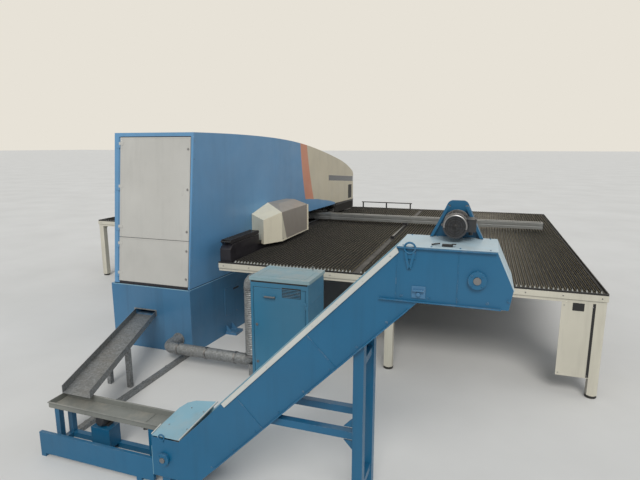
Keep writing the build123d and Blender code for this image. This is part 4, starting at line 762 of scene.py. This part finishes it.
def cover_details():
    """Fold lips and screws on the faceted cover."""
    lips = Shape()
    lips.box(-973, -969.8, 1994, 2878, 1000, 1012)
    lips.box(-984, -969.8, 1976, 1994, 1000, 1358)
    put(lips, "cover_front_lip", "cover_cream", 0.6)
    screws = Shape()
    for y in spaced(2040, 2840, 160):
        screws.screw((-970, y, 1030), (-1, 0, 0), 4.6)
    for z in (1110, 1250):
        screws.screw((-970, 2040, z), (-1, 0, 0), 4.6)
    put(screws, "cover_screws", "turned_steel")


def power_details():
    y = POWER_Y
    sight = Shape()
    sight.box(-250, -226, TANK_FACE_Y, 4006, 760, 980)
    put(sight, "tank_sight_glass", "dark_window", 1.0)
    fittings = Shape()
    for x, z in ((-238, 752), (-238, 988)):
        fittings.bolt((x, TANK_FACE_Y, z), AFT, 9)
    for x in (-150, -60, 60, 150):
        fittings.bolt((x, 4012, 1106), AFT, 5)
    fittings.lathe((-240, y, 1150), UP, [(0, 30), (14, 30), (18, 24), (22, 24)], 24)
    for i in range(8):
        a = math.radians(45 * i + 22)
        fittings.bolt((100 * math.cos(a), y + 100 * math.sin(a), 1130), UP, 6)
    put(fittings, "tank_fittings", "turned_steel")
    fan = Shape()
    for r in (30, 50, 70):
        fan.loop((0, y, FAN_Z), UP, r, 2.2, 28, 6)
    for u, v in circle(6):
        fan.tube([(r * u, y + r * v, FAN_Z) for r in (20, 88)], 2.2, 6)
    fan.lathe((0, y, 1440), UP, [(0, 22), (4, 22), (6, 16)], 20)
    put(fan, "pump_fan_guard", "black_steel")
    pipes = Shape()
    for x, aft, heights in ((180, -20, (1216, 1290, 1320, 1340, 1345, 1345)),
                            (240, 20, (1216, 1250, 1276, 1290, 1295, 1295))):
        places = ((x, aft), (x, aft), (x - 4, aft - 4), (x - 20, aft - 20), (x - 20, -120), (x - 20, -235))
        pipes.tube([(px, y + py, z) for (px, py), z in zip(places, heights)], 11, 12)
        pipes.lathe((x, y + aft, 1212), UP, [(0, 19), (18, 19), (22, 15), (30, 15)], 6)
    put(pipes, "pressure_pipes", "turned_steel")


# Turrets, beam and clamps

def turret_details():
    bushes = Shape()
    hole_shade = Shape()
    for i in range(16):
        a = math.radians(90 + 22.5 * (i + 0.5))
        place = Vector((578 * math.cos(a), TURRET_Y + 578 * math.sin(a), 1106))
        bushes.ring(place, UP, 7, 13, 0, 5, 20)
        # Black discs in the bushes: painted shade standing for the dark inside of the bores
        hole_shade.lathe(place, UP, [(0, 6.8), (2, 6.8)], 16)
    for i in range(10):
        a = math.radians(36 * i)
        bushes.bolt((92 * math.cos(a), TURRET_Y + 92 * math.sin(a), 1120), UP, 8)
    put(bushes, "upper_index_bushes", "turned_steel", body="upper_tool_turret")
    put(hole_shade, "upper_index_bore_shade", "black_steel", body="upper_tool_turret")
    grooves = Shape()
    for z in (1012, 1060):
        grooves.ring((0, TURRET_Y, z), UP, 599.0, 601.2, 0, 7, 96)
    put(grooves, "upper_turret_bands", "black_steel", body="upper_tool_turret")
    lower = Shape()
    for i in range(16):
        a = math.radians(90 + 22.5 * (i + 0.5))
        lower.lathe((601 * math.cos(a), TURRET_Y + 601 * math.sin(a), 900), (math.cos(a), math.sin(a), 0),
                    [(-3, 9), (0.5, 9), (0.5, 4), (-1, 4)], 16)
    for i in range(8):
        a = math.radians(45 * i)
        lower.bolt((88 * math.cos(a), TURRET_Y + 88 * math.sin(a), 840), DOWN, 8)
    put(lower, "lower_index_bushes", "turned_steel", body="lower_tool_turret")


def beam_details():
    caps = Shape()
    for x, s in ((-4100, -1), (2600, 1)):
        caps.place = frame_at((x, BEAM_Y, BEAM_Z), (0, s, 0), (s, 0, 0))
        caps.plate(rounded(-75, 75, -46.5, 46.5, 6), 0, 8, 2)
    put(caps, "beam_end_caps", "black_steel", body="beam")
    bolts = Shape()
    for x in spaced(-4040, 2540, 300):
        bolts.screw((x, 842, BEAM_Z), AFT, 5.5)
        bolts.screw((x, 715, BEAM_TOP), UP, 5)
    for s in SIDES:
        for x, y in ((-42, -105), (42, -105), (-42, 105), (42, 105)):
            bolts.bolt((s * SHOE_X + x * 0.9, BEAM_Y + y, 985), UP, 7)
    put(bolts, "beam_screws", "turned_steel", body="beam")
    strip = Shape()
    strip.box(-4080, 2580, 786, 812, BEAM_TOP, 1080.5)
    for x in spaced(-4070, 2570, 370):
        strip.box(x - 9, x + 9, 782, 816, BEAM_TOP, 1082.5)
    put(strip, "beam_rack_cover", "black_steel", 0.4, "beam")
    wipers = Shape()
    for s in SIDES:
        for y, d in ((655, -1), (895, 1)):
            wipers.box(s * SHOE_X - 52, s * SHOE_X + 52, y, y + 5 * d, 864, 912)
        for y, d in ((705, -1), (845, 1)):
            wipers.box(s * OUTER_RAIL_X - 33, s * OUTER_RAIL_X + 33, y, y + 5 * d, 957, 984)
    put(wipers, "beam_wipers", "carrier_black", 0.8, "beam")
    plugs = Shape()
    for x in spaced(-4050, 2550, 90):
        plugs.lathe((x, 682.2, BEAM_Z), FORE, [(-0.2, 5.2), (0.25, 5.2), (0.25, 3), (-0.3, 3)], 10)
    put(plugs, "x_rail_plugs", "black_steel", body="beam")


def clamp_details():
    bolts = Shape()
    pipes = Shape()
    for i in (-1, 0, 1):
        x = CLAMP_PITCH * i
        for dx in (-40, 40):
            bolts.bolt((x + dx, 628, 1072), UP, 6)
            bolts.bolt((x + dx, 670, 1072), UP, 6)
        bolts.lathe((x, 598, 1050.5), UP, [(0, 17), (16, 17), (19, 14)], 20)
        pipes.tube([(x, 598, 1068), (x, 598, 1078), (x + 4, 602, 1084), (x + 14, 640, 1086),
                    (x + 14, 668, 1084)], 4.5, 8)
        bolts.lathe((x + 14, 672, 1072), UP, [(0, 9), (10, 9), (12, 7)], 6)
    pipes.tube([(-735, 672, 1079), (735, 672, 1079)], 5, 8)
    put(bolts, "clamp_bolts", "turned_steel", body="carriage")
    put(pipes, "clamp_pipes", "black_steel", body="carriage")


# Tables

def channel_places(x0, x1):
    """Centres of the brush rows, as the channels lie between two edges, clear of the outer rails."""
    count = int((x1 - x0) / CHANNEL_PITCH)
    start = x0 + ((x1 - x0) - (count - 1) * CHANNEL_PITCH) / 2
    return [x for x in (start + CHANNEL_PITCH * i for i in range(count)) if abs(abs(x) - OUTER_RAIL_X) > 28.5]


def tufts(name, xs, y0, y1, pitch=23.0):
    """Bristle tufts that stand in their rows, each one flared, turned and a little uneven."""
    verts = []
    faces = []
    for x in xs:
        for k in range(int((y1 - y0) / pitch)):
            y = y0 + pitch * (k + 0.5) + RNG.uniform(-1.5, 1.5)
            lean = (RNG.uniform(-1.6, 1.6), RNG.uniform(-2.2, 2.2))
            top = 954.5 + RNG.uniform(-0.6, 0.5)
            turn = RNG.uniform(0.4, 1.2)
            first = len(verts)
            for z, r, (dx, dy) in ((944.0, 4.4, (0, 0)), (top, 6.6, lean)):
                for q in range(4):
                    a = turn + q * math.pi / 2
                    corner = (x + dx + r * math.cos(a), y + dy + 1.5 * r * math.sin(a), z)
                    verts.append(scaled(corner, 0.001))
            a, b, c, d, e, f, g, h = range(first, first + 8)
            faces += [(d, c, b, a), (a, b, f, e), (b, c, g, f), (c, d, h, g), (d, a, e, h), (e, f, g, h)]
    mesh = bpy.data.meshes.new(name)
    mesh.from_pydata(verts, [], faces)
    add_piece(name, mesh, "brush_black", "machine")


def table_details():
    near = channel_places(-4300, -810)
    half = len(near) // 2
    tufts("near_tufts_outer", near[:half], -1180, 3810)
    tufts("near_tufts_inner", near[half:], -1180, 3810)
    tufts("far_tufts", channel_places(810, 2735), -1180, 1880)
    bolts = Shape()
    for x in spaced(-4275, -720, 290):
        bolts.screw((x, NEAR_TABLE_REAR_Y + FACING, 905), AFT, 6)
        bolts.screw((x, TABLE_FRONT_Y - FACING, 905), FORE, 6)
    for x in spaced(710, 2700, 290):
        bolts.screw((x, FAR_TABLE_REAR_Y + FACING, 905), AFT, 6)
        bolts.screw((x, TABLE_FRONT_Y - FACING, 905), FORE, 6)
    put(bolts, "edge_screws", "turned_steel")
    facing = Shape()
    for x0, x1, y in ((-4323, -660, NEAR_TABLE_REAR_Y), (660, 2758, FAR_TABLE_REAR_Y)):
        facing.box(x0, x1, y, y + FACING, 878, DECK_Z)
        facing.box(x0, x1, TABLE_FRONT_Y - FACING, TABLE_FRONT_Y, 878, DECK_Z)
    put(facing, "edge_facings", "table_cream", 0.8)
    noses = Shape()
    for xs, y0, y1 in ((near, 3812, 3868), (channel_places(810, 2735), 1881, 1898)):
        for x in xs:
            noses.skin([[(x - 12, y1, 931), (x + 12, y1, 931), (x, y1, 940)],
                        [(x - 3, y0, 943), (x + 3, y0, 943), (x, y0, 956.5)]])
    put(noses, "channel_noses", "rim_grey")
    feet = Shape()
    gussets = Shape()
    for xs, ys in (((-4275, -2495.5, -1200), (-1160, 3830)), ((860, 2710), (-1160, 1860))):
        for x in xs:
            for y in ys:
                feet.lathe((x, y, 30), UP, [(-28, 46), (-24, 47.5), (-6, 47.5), (-2, 20), (0.5, 20)], 28)
                feet.lathe((x, y, 30), UP, [(-4, 24), (10, 24), (12, 20)], 6)
                inward = 1 if y < 0 else -1
                gussets.prism([(x - 4, y + inward * 40, 848), (x - 4, y + inward * 130, 848),
                               (x - 4, y + inward * 40, 758)], (8, 0, 0))
    put(feet, "table_feet_details", "black_steel", 0.8)
    put(gussets, "table_gussets", "table_cream", 0.8)
    panel = Shape()
    for z in (205, 820):
        for x in (-4215, -3995):
            panel.screw((x, 3870, z), AFT, 5)
    put(panel, "leg_panel_screws", "turned_steel")
    # Black plates on the leg panel: painted shade standing for its recesses
    recess_shade = Shape(frame_at((-4105, 3870, 828), (-1, 0, 0), AFT))
    recess_shade.plate(rounded(-45, 45, -50, 19, 4), 0.2, 1.0)
    recess_shade.box(108, 130, -640, 24, 0.2, 1.0)
    put(recess_shade, "leg_panel_painted_shade", "black_steel")
    stops = Shape()
    for s in SIDES:
        for y in (140, 1880):
            stops.box(s * OUTER_RAIL_X - 22, s * OUTER_RAIL_X + 22, y - 14, y + 14, 930, 962)
    put(stops, "outer_rail_stops", "carrier_black", 2.0)


def carrier_details():
    """Chain of links lying in its trough beside the column."""
    plates = Shape()
    pins = Shape()
    for y0, y1, z in ((2075, 3140, 988), (3175, 3800, 1125)):
        for y in spaced(y0, y1, 52):
            for x in (-782, -678):
                link = [(x - 4, y + 30 * u + math.copysign(4, u), z + 27 + 24 * v) for u, v in circle(14)]
                plates.prism(link, (8, 0, 0))
            pins.box(-778, -674, y - 9, y + 9, z + 44, z + 49)
            pins.lathe((-787, y + 26, z + 27), (1, 0, 0), [(0, 9), (118, 9)], 12)
    put(plates, "carrier_links", "carrier_black", 0.8)
    put(pins, "carrier_bars", "black_steel")
    lines = Shape()
    for x, r in ((-760, 9), (-738, 7), (-718, 10), (-697, 7)):
        lines.tube([(x, y, 1125 + 22 + 2 * math.sin(y * 0.01)) for y in spaced(3180, 3790, 60)], r, 8)
        lines.tube([(x, y, 988 + 22 + 2 * math.sin(y * 0.01)) for y in spaced(2080, 3130, 60)], r, 8)
    put(lines, "carrier_cables", "carrier_black")


# Suction cabinet

def cabinet_details():
    grille = Shape()
    for i in range(6):
        z = 876 + i * 13
        grille.prism([(-1868, 4600.9, z), (-1868, 4606, z + 1), (-1868, 4600.9, z + 5)], (165, 0, 0))
    put(grille, "cabinet_grille", "cabinet_blue", 0.4, "filter_door")
    back = Shape()
    back.box(-1872, -1699, 4600, 4600.8, 870, 958)
    put(back, "cabinet_grille_back", "black_steel", body="filter_door")
    # A black strip under the lid: painted shade standing for a groove
    slot = Shape()
    slot.box(-1932, -1408, 4600, 4601.2, 988, 1001)
    put(slot, "cabinet_lid_slot_shade", "black_steel", 0.3)
    lid = Shape()
    lid.box(-1950, -1390, 4598, 4606, 1003, 1031)
    lid.box(-1950, -1942, 4184, 4598, 1003, 1031)
    lid.box(-1398, -1390, 4184, 4598, 1003, 1031)
    lid.box(-1942, -1398, 4184, 4192, 1003, 1031)
    lid.plate(rounded(-1950, -1390, 4184, 4606, 8), 1031, 1034, 1.5)
    put(lid, "cabinet_lid_rim", "lid_blue", 1.6)
    inner = Shape()
    inner.border(-1900, -1440, 4238, 4548, 14, 1034, 1036.5)
    put(inner, "cabinet_lid_beading", "lid_blue", 1.0)
    pin = Shape()
    pin.lathe((-1850, 4230, 1034), UP, [(0, 9), (6, 9), (8, 4), (26, 4), (30, 6), (38, 6), (41, 3)], 14)
    put(pin, "cabinet_lid_pin", "turned_steel")
    latch = Shape()
    for x in (-1630, -1550):
        latch.lathe((x, 4601, 868), AFT, [(0, 8), (14, 8), (16, 6)], 14)
    latch.tube([(-1640, 4622, 868), (-1540, 4622, 868)], 7, 12)
    for z in (250, 600):
        latch.lathe((-1455, 4600, z), AFT, [(0, 13), (4, 13), (5, 10), (5, 4), (2, 4)], 20)
    put(latch, "cabinet_latches", "frame_grey", body="filter_door")
    folds = Shape()
    for x0, x1 in ((-1942.5, -1940), (-1400, -1397.5)):
        for z in (300, 560, 820):
            folds.box(x0, x1, 4215, 4560, z, z + 5)
    put(folds, "cabinet_side_creases", "cabinet_blue", 1.0)
    feet = Shape()
    for x in (-1890, -1450):
        for y in (4240, 4550):
            feet.lathe((x, y, 0), UP, [(0, 40), (6, 40), (14, 24), (16, 24)], 24)
            feet.lathe((x, y, 40), UP, [(0, 28), (14, 28), (16, 25)], 6)
    put(feet, "cabinet_feet", "black_steel")
    clips = Shape()
    sleeve = Shape()
    sleeve.lathe((PIPE_X, PIPE_Y, 200), UP, [(9 * i, 58 + 7 * (i % 2)) for i in range(74)], 32)
    sleeve.tube([(PIPE_X, PIPE_Y, 860), (PIPE_X, PIPE_Y, 895), (-1306, 4400, 918), (-1321, 4400, 936),
                 (-1344, 4400, 946), (-1372, 4400, 948), (-1398, 4400, 948)], 64, 28)
    put(sleeve, "suction_sleeve", "galvanised")
    for z in (210, 866):
        clips.ring((PIPE_X, PIPE_Y, z), UP, 65.2, 69, -9, 9, 32)
        clips.bolt((-1231, 4400, z), (1, 0, 0), 5)
    for x in (-480, -800, -1120):
        clips.ring((x, 4400, 150), (1, 0, 0), 55, 60, -9, 9, 32)
        clips.bolt((x, 4461, 150), AFT, 5)
    for i in range(6):
        a = math.radians(60 * i)
        clips.bolt((-1392, 4400 + 62 * math.cos(a), 930 + 62 * math.sin(a)), (1, 0, 0), 3.5, False)
    put(clips, "pipe_clips", "turned_steel")


# Conveyor

def conveyor_details():
    flange = Shape(slope_frame(NEAR_WALL_Y, 1))
    flange.box(90, 1700, -269, -262, 0.2, 16)
    flange.place = Matrix()
    flange.box(-3400, -2830, 6000.2, 6016, 1405.5, 1412)
    flange.box(-3368, -2912, 6000.2, 6014, 1669, 1675)
    put(flange, "side_flanges", "conveyor_blue", 1.0)
    ribs = Shape(slope_frame(NEAR_WALL_Y, 1))
    for x in (560, 1180):
        ribs.box(x - 3, x + 3, -262, -32, 0.2, 3.0)
    ribs.place = Matrix()
    ribs.box(-2914, -2910, 6000.2, 6002.4, 1412, 1669)
    ribs.box(-3204, -3200, 6000.2, 6002.4, 1412, 1669)
    put(ribs, "side_joints", "conveyor_blue", 0.8)
    bolts = Shape(slope_frame(NEAR_WALL_Y, 1))
    rim = Shape(slope_frame(NEAR_WALL_Y, 1))
    for x in spaced(80, 1780, 212):
        bolts.bolt((x, -248, 0), UP, 4.2)
    for x in spaced(480, 1820, 190):
        rim.screw((x, -14, 10), UP, 3.8)
    put(rim, "rim_screws", "rim_grey")
    bolts.place = slope_frame(FAR_WALL_Y, -1)
    for x in spaced(80, 1780, 212):
        bolts.bolt((x, 248, 0), UP, 4.2)
    bolts.place = Matrix()
    for x in spaced(-3340, -2940, 130):
        bolts.bolt((x, 6000, 1432), AFT, 4.2)
        bolts.screw((x, 5985, 1679), UP, 4.5)
        bolts.screw((x, 5685, 1679), UP, 4.5)
    bolts.bolt((-3432, 6000, 1452), AFT, 6)
    for x, z in ((-1480, 210), (-3290, 1540)):
        for i in range(4):
            a = math.radians(90 * i + 45)
            for y, d in ((6022, 1), (5648, -1)):
                bolts.bolt((x + 33 * math.cos(a), y, z + 33 * math.sin(a)), (0, d, 0), 4.6, False)
        bolts.lathe((x, 6014, z + 40), (0, 1, 1), [(-8, 5), (0, 5), (3, 3), (8, 3)], 10)
    put(bolts, "conveyor_bolts", "conveyor_blue")
    rings = Shape()
    rings.loop((-2975, 6008, 1672), AFT, 26, 5, 22, 8)
    rings.box(-3003, -2947, 6000.2, 6006, 1618, 1652)
    for s in SIDES:
        leg = ((26, 1650), (14, 1650), (-3, 1570), (9, 1570))
        rings.prism([(-2975 + s * dx, 6006, z) for dx, z in leg], (0, 5, 0))
    rings.loop((-1470, 6005, 356), AFT, 20, 4.5, 20, 8)
    rings.box(-1482, -1458, 6000.2, 6004, 322, 344)
    put(rings, "lifting_rings", "conveyor_blue")
    bracket = Shape()
    bracket.box(-3056, -2990, 6000.2, 6005, 1426, 1486)
    bracket.box(-3050, -2996, 6005, 6019, 1462, 1470)
    bracket.lathe((-3023, 6005, 1446), AFT, [(0, 11), (10, 11), (13, 8)], 18)
    put(bracket, "side_latch", "base_blue", 0.8)
    latch = Shape()
    latch.box(-3170, -3120, 5940, 5962, 1679, 1690)
    latch.box(-3185, -3165, 5945, 5957, 1690, 1694)
    latch.tube([(-3110, 5951, 1692), (-3085, 5951, 1688), (-3070, 5951, 1684)], 4, 8)
    put(latch, "cover_latch", "black_steel", 0.8)
    plates = Shape()
    for place, down in ((slope_frame(5996, -1), 1), (slope_frame(5674, 1), -1)):
        plates.place = place
        plates.box(0, 1860, 94 * down, 100 * down, -0.1, 10)
    put(plates, "belt_guide_strips", "belt_steel", 0.5)
    hinges = Shape(frame_at((KNEE_X, 5835, KNEE_Z), UPHILL, (math.sin(SLOPE), 0, math.cos(SLOPE))))
    for x in spaced(70, 1800, 38):
        hinges.lathe((x, -148, -129), AFT, [(0, 3.2), (296, 3.2)], 8)
    put(hinges, "belt_hinge_rods", "turned_steel")


def drive_details():
    x, z = MOTOR_X, MOTOR_Z
    grille = Shape()
    for r in (14, 26, 38, 49):
        grille.loop((x, 5852, z), AFT, r, 1.7, 32, 6)
    for i in range(8):
        c, s = math.cos(math.radians(45 * i)), math.sin(math.radians(45 * i))
        grille.tube([(x + 8 * c, 5852, z + 8 * s), (x + 51 * c, 5852, z + 51 * s)], 1.7, 6)
    grille.lathe((x, 5849, z), AFT, [(0, 11), (3, 11), (4.5, 8)], 18)
    put(grille, "motor_fan_grille", "black_steel")
    bright = Shape()
    bright.ring((x, 5699, z), AFT, 52.2, 66, 0, 9, 48)
    # A bar of bright steel on the upper part of the fan cowl's rim alone: a painted highlight of the light on
    # its top
    bright.tube([(x + 54 * math.cos(a), 5852, z + 54 * math.sin(a)) for a in spaced(-0.15, 3.4, 0.12)],
                5.5, 10)
    bright.ring((x, 5812, z), AFT, 59.8, 62, 0, 8, 48)
    for i in range(6):
        c, s = math.cos(math.radians(60 * i + 30)), math.sin(math.radians(60 * i + 30))
        bright.bolt((x + 57 * c, 5688, z + 57 * s), AFT, 4, False)
    put(bright, "motor_clamp_rings_and_highlight", "turned_steel", 0.6)
    box = Shape()
    box.box(-3270, -3218, 5728, 5822, 1790, 1796)
    for x in (-3263, -3225):
        for y in (5735, 5815):
            box.screw((x, y, 1796), UP, 3.4)
    box.lathe((-3243, 5775, 1732), DOWN, [(0, 13), (8, 13), (10, 10), (20, 10), (22, 6)], 14)
    put(box, "motor_box_lid", "motor_dark", 0.8)
    bolts = Shape()
    for x, z in ((-3290, 1640), (-3210, 1640), (-3130, 1640), (-3050, 1640)):
        bolts.bolt((x, 5660, z), FORE, 6)
    for x, z in ((-3095, 1740), (-3245, 1740), (-3125, 1842), (-3215, 1842)):
        bolts.bolt((x, 5670, z), AFT, 4.5)
    put(bolts, "bracket_bolts", "turned_steel")
    lips = Shape()
    for s in SIDES:
        section = ((134, 1682), (54, 1846), (37, 1846), (117, 1682))
        lips.prism([(MOTOR_X + s * dx, 5704, z) for dx, z in section], (0, 4, 0))
    put(lips, "bracket_lips", "conveyor_blue", 0.8)


def stand_details():
    plates = Shape()
    bolts = Shape()
    for y in (5701, 5951):
        for x in (-2780, -2670):
            bolts.bolt((x, y, 12), UP, 8)
        plates.prism([(-2696, y - 4, 640), (-2696, y - 4, 700), (-2640, y - 4, 640)], (0, 8, 0))
        plates.prism([(-2696, y - 4, 560), (-2696, y - 4, 500), (-2640, y - 4, 560)], (0, 8, 0))
        plates.prism([(-2754, y - 4, 12), (-2790, y - 4, 12), (-2754, y - 4, 80)], (0, 8, 0))
        plates.prism([(-2696, y - 4, 12), (-2660, y - 4, 12), (-2696, y - 4, 80)], (0, 8, 0))
    put(plates, "stand_gussets", "conveyor_blue", 0.6)
    put(bolts, "stand_bolts", "turned_steel")


# Tray, chute and duct

def tray_details():
    mounts = Shape()
    for x in (-1220, -460):
        for y in (5730, 5838):
            mounts.lathe((x, y, 270), UP, [(0, 20), (6, 15), (14, 15), (20, 19)], 20)
    put(mounts, "tray_rubber_mounts", "carrier_black")
    lips = Shape()
    for y0, y1 in ((5688, 5700), (5868, 5880)):
        lips.box(-1436, -402, y0, y1, 334, 338)
    lips.box(-1200, -1180, 5704, 5864, 296, 300)
    put(lips, "tray_lips", "tray_pale", 0.8, "tray")
    shaker = Shape()
    shaker.lathe((SHAKER_X, 5720, SHAKER_Z), AFT, [(0, 30), (10, 38), (110, 38), (120, 30)], 24)
    shaker.box(-862, -778, 5750, 5800, 190, 206)
    for a in range(0, 360, 40):
        c, s = math.cos(math.radians(a)), math.sin(math.radians(a))
        rib = ((36, 5738), (43, 5738), (43, 5822), (36, 5822))
        shaker.prism([(SHAKER_X + r * c, y, SHAKER_Z + r * s) for r, y in rib], (3 * -s, 0, 3 * c))
    put(shaker, "shaker_motor", "motor_dark")
    covers = Shape()
    for y in spaced(4230, 5600, 340):
        covers.box(-492, -438, y - 12, y + 12, 38, 40)
        covers.screw((-465, y, 40), UP, 4)
    put(covers, "duct_joints", "galvanised", 0.4)
    apron = Shape()
    outline = ((-1594, 5994), (-1392, 5997), (-1400, 5900), (-1424, 5740), (-1452, 5684), (-1500, 5652),
               (-1652, 5625))
    apron.prism([(x, y, feed_z(y)) for x, y in outline], (0, 0, 2.4))
    put(apron, "feed_plate_apron", "plate_light_blue", 0.6)
    edges = Shape()
    for (xa, ya), (xb, yb) in (((-1596, 5994), (-1655, 5627)), ((-1392, 5992), (-1399, 5905))):
        edges.prism([(xa + dx, ya, feed_z(ya) + dz) for dx, dz in ((0, 2.4), (7, 2.4), (7, 8), (0, 8))],
                    (xb - xa, yb - ya, feed_z(yb) - feed_z(ya)))
    put(edges, "feed_plate_edges", "rim_grey", 0.8)
    plate = Shape()
    for x, y in ((-1610, 5737), (-1510, 5722), (-1450, 5892), (-1590, 5900)):
        plate.screw((x, y, feed_z(y) + 2.4), (0, FEED_RISE, 1), 4.5)
    put(plate, "feed_plate_screws", "turned_steel")


for build in (rear_door_details, hood_details, nose_details, skirt_details, base_details, cover_details,
              power_details, turret_details, beam_details, clamp_details, table_details, carrier_details,
              cabinet_details,
              conveyor_details, drive_details, stand_details, tray_details):
    build()


# Stage, light and camera

def make_stage():
    mesh = bpy.data.meshes.new("floor")
    corners = ((-1, -1), (1, -1), (1, 1), (-1, 1))
    mesh.from_pydata([(x * FLOOR_REACH, y * FLOOR_REACH, 0) for x, y in corners], [], [(0, 1, 2, 3)])
    s = Shader("pale_floor")
    tone = s.mix(s.ramp(s.noise(0.7, 4.0), 0.3, 0.7), FLOOR_DARK, FLOOR_LIGHT)
    mesh.materials.append(s.finish(tone, 0.75))
    add_object("floor", mesh)


def make_world():
    """Soft sky light on the object; the camera and reflections see the plain backdrop instead."""
    world = bpy.data.worlds.new("studio")
    bpy.context.scene.world = world
    world.use_nodes = True
    tree = world.node_tree
    tree.nodes.clear()
    output = tree.nodes.new("ShaderNodeOutputWorld")
    mix = tree.nodes.new("ShaderNodeMixShader")
    for index, (colour, strength) in ((1, SKY), (2, BACKDROP)):
        light = tree.nodes.new("ShaderNodeBackground")
        light.inputs["Color"].default_value = colour
        light.inputs["Strength"].default_value = strength
        tree.links.new(light.outputs[0], mix.inputs[index])
    rays = tree.nodes.new("ShaderNodeLightPath")
    shown = rays.outputs["Is Camera Ray"]
    for kind in ("Is Glossy Ray", "Is Transmission Ray"):
        either = tree.nodes.new("ShaderNodeMath")
        either.operation = "MAXIMUM"
        tree.links.new(shown, either.inputs[0])
        tree.links.new(rays.outputs[kind], either.inputs[1])
        shown = either.outputs[0]
    tree.links.new(shown, mix.inputs[0])
    tree.links.new(mix.outputs[0], output.inputs["Surface"])


def sun(name, direction, strength, spread, colour):
    data = bpy.data.lights.new(name, "SUN")
    data.energy = strength
    data.angle = math.radians(spread)
    data.color = colour
    add_object(name, data).rotation_euler = Vector(direction).to_track_quat("Z", "Y").to_euler()


def make_lights():
    """Soft even light: a broad key from the rear and a weak fill from the near side."""
    sun("key", *KEY_LIGHT)
    sun("fill", *FILL_LIGHT)


def make_camera():
    data = bpy.data.cameras.new("camera")
    data.lens = CAMERA_LENS
    data.sensor_width = SENSOR_WIDTH
    data.clip_end = 500.0
    camera = add_object("camera", data)
    camera.location = CAMERA_PLACE
    look = CAMERA_HEADING * math.cos(CAMERA_PITCH) - Vector((0, 0, math.sin(CAMERA_PITCH)))
    camera.rotation_euler = look.to_track_quat("-Z", "Y").to_euler()
    bpy.context.scene.camera = camera


make_stage()
make_world()
make_lights()
make_camera()
bpy.context.scene.view_settings.view_transform = "Standard"

bpy.context.view_layer.update()
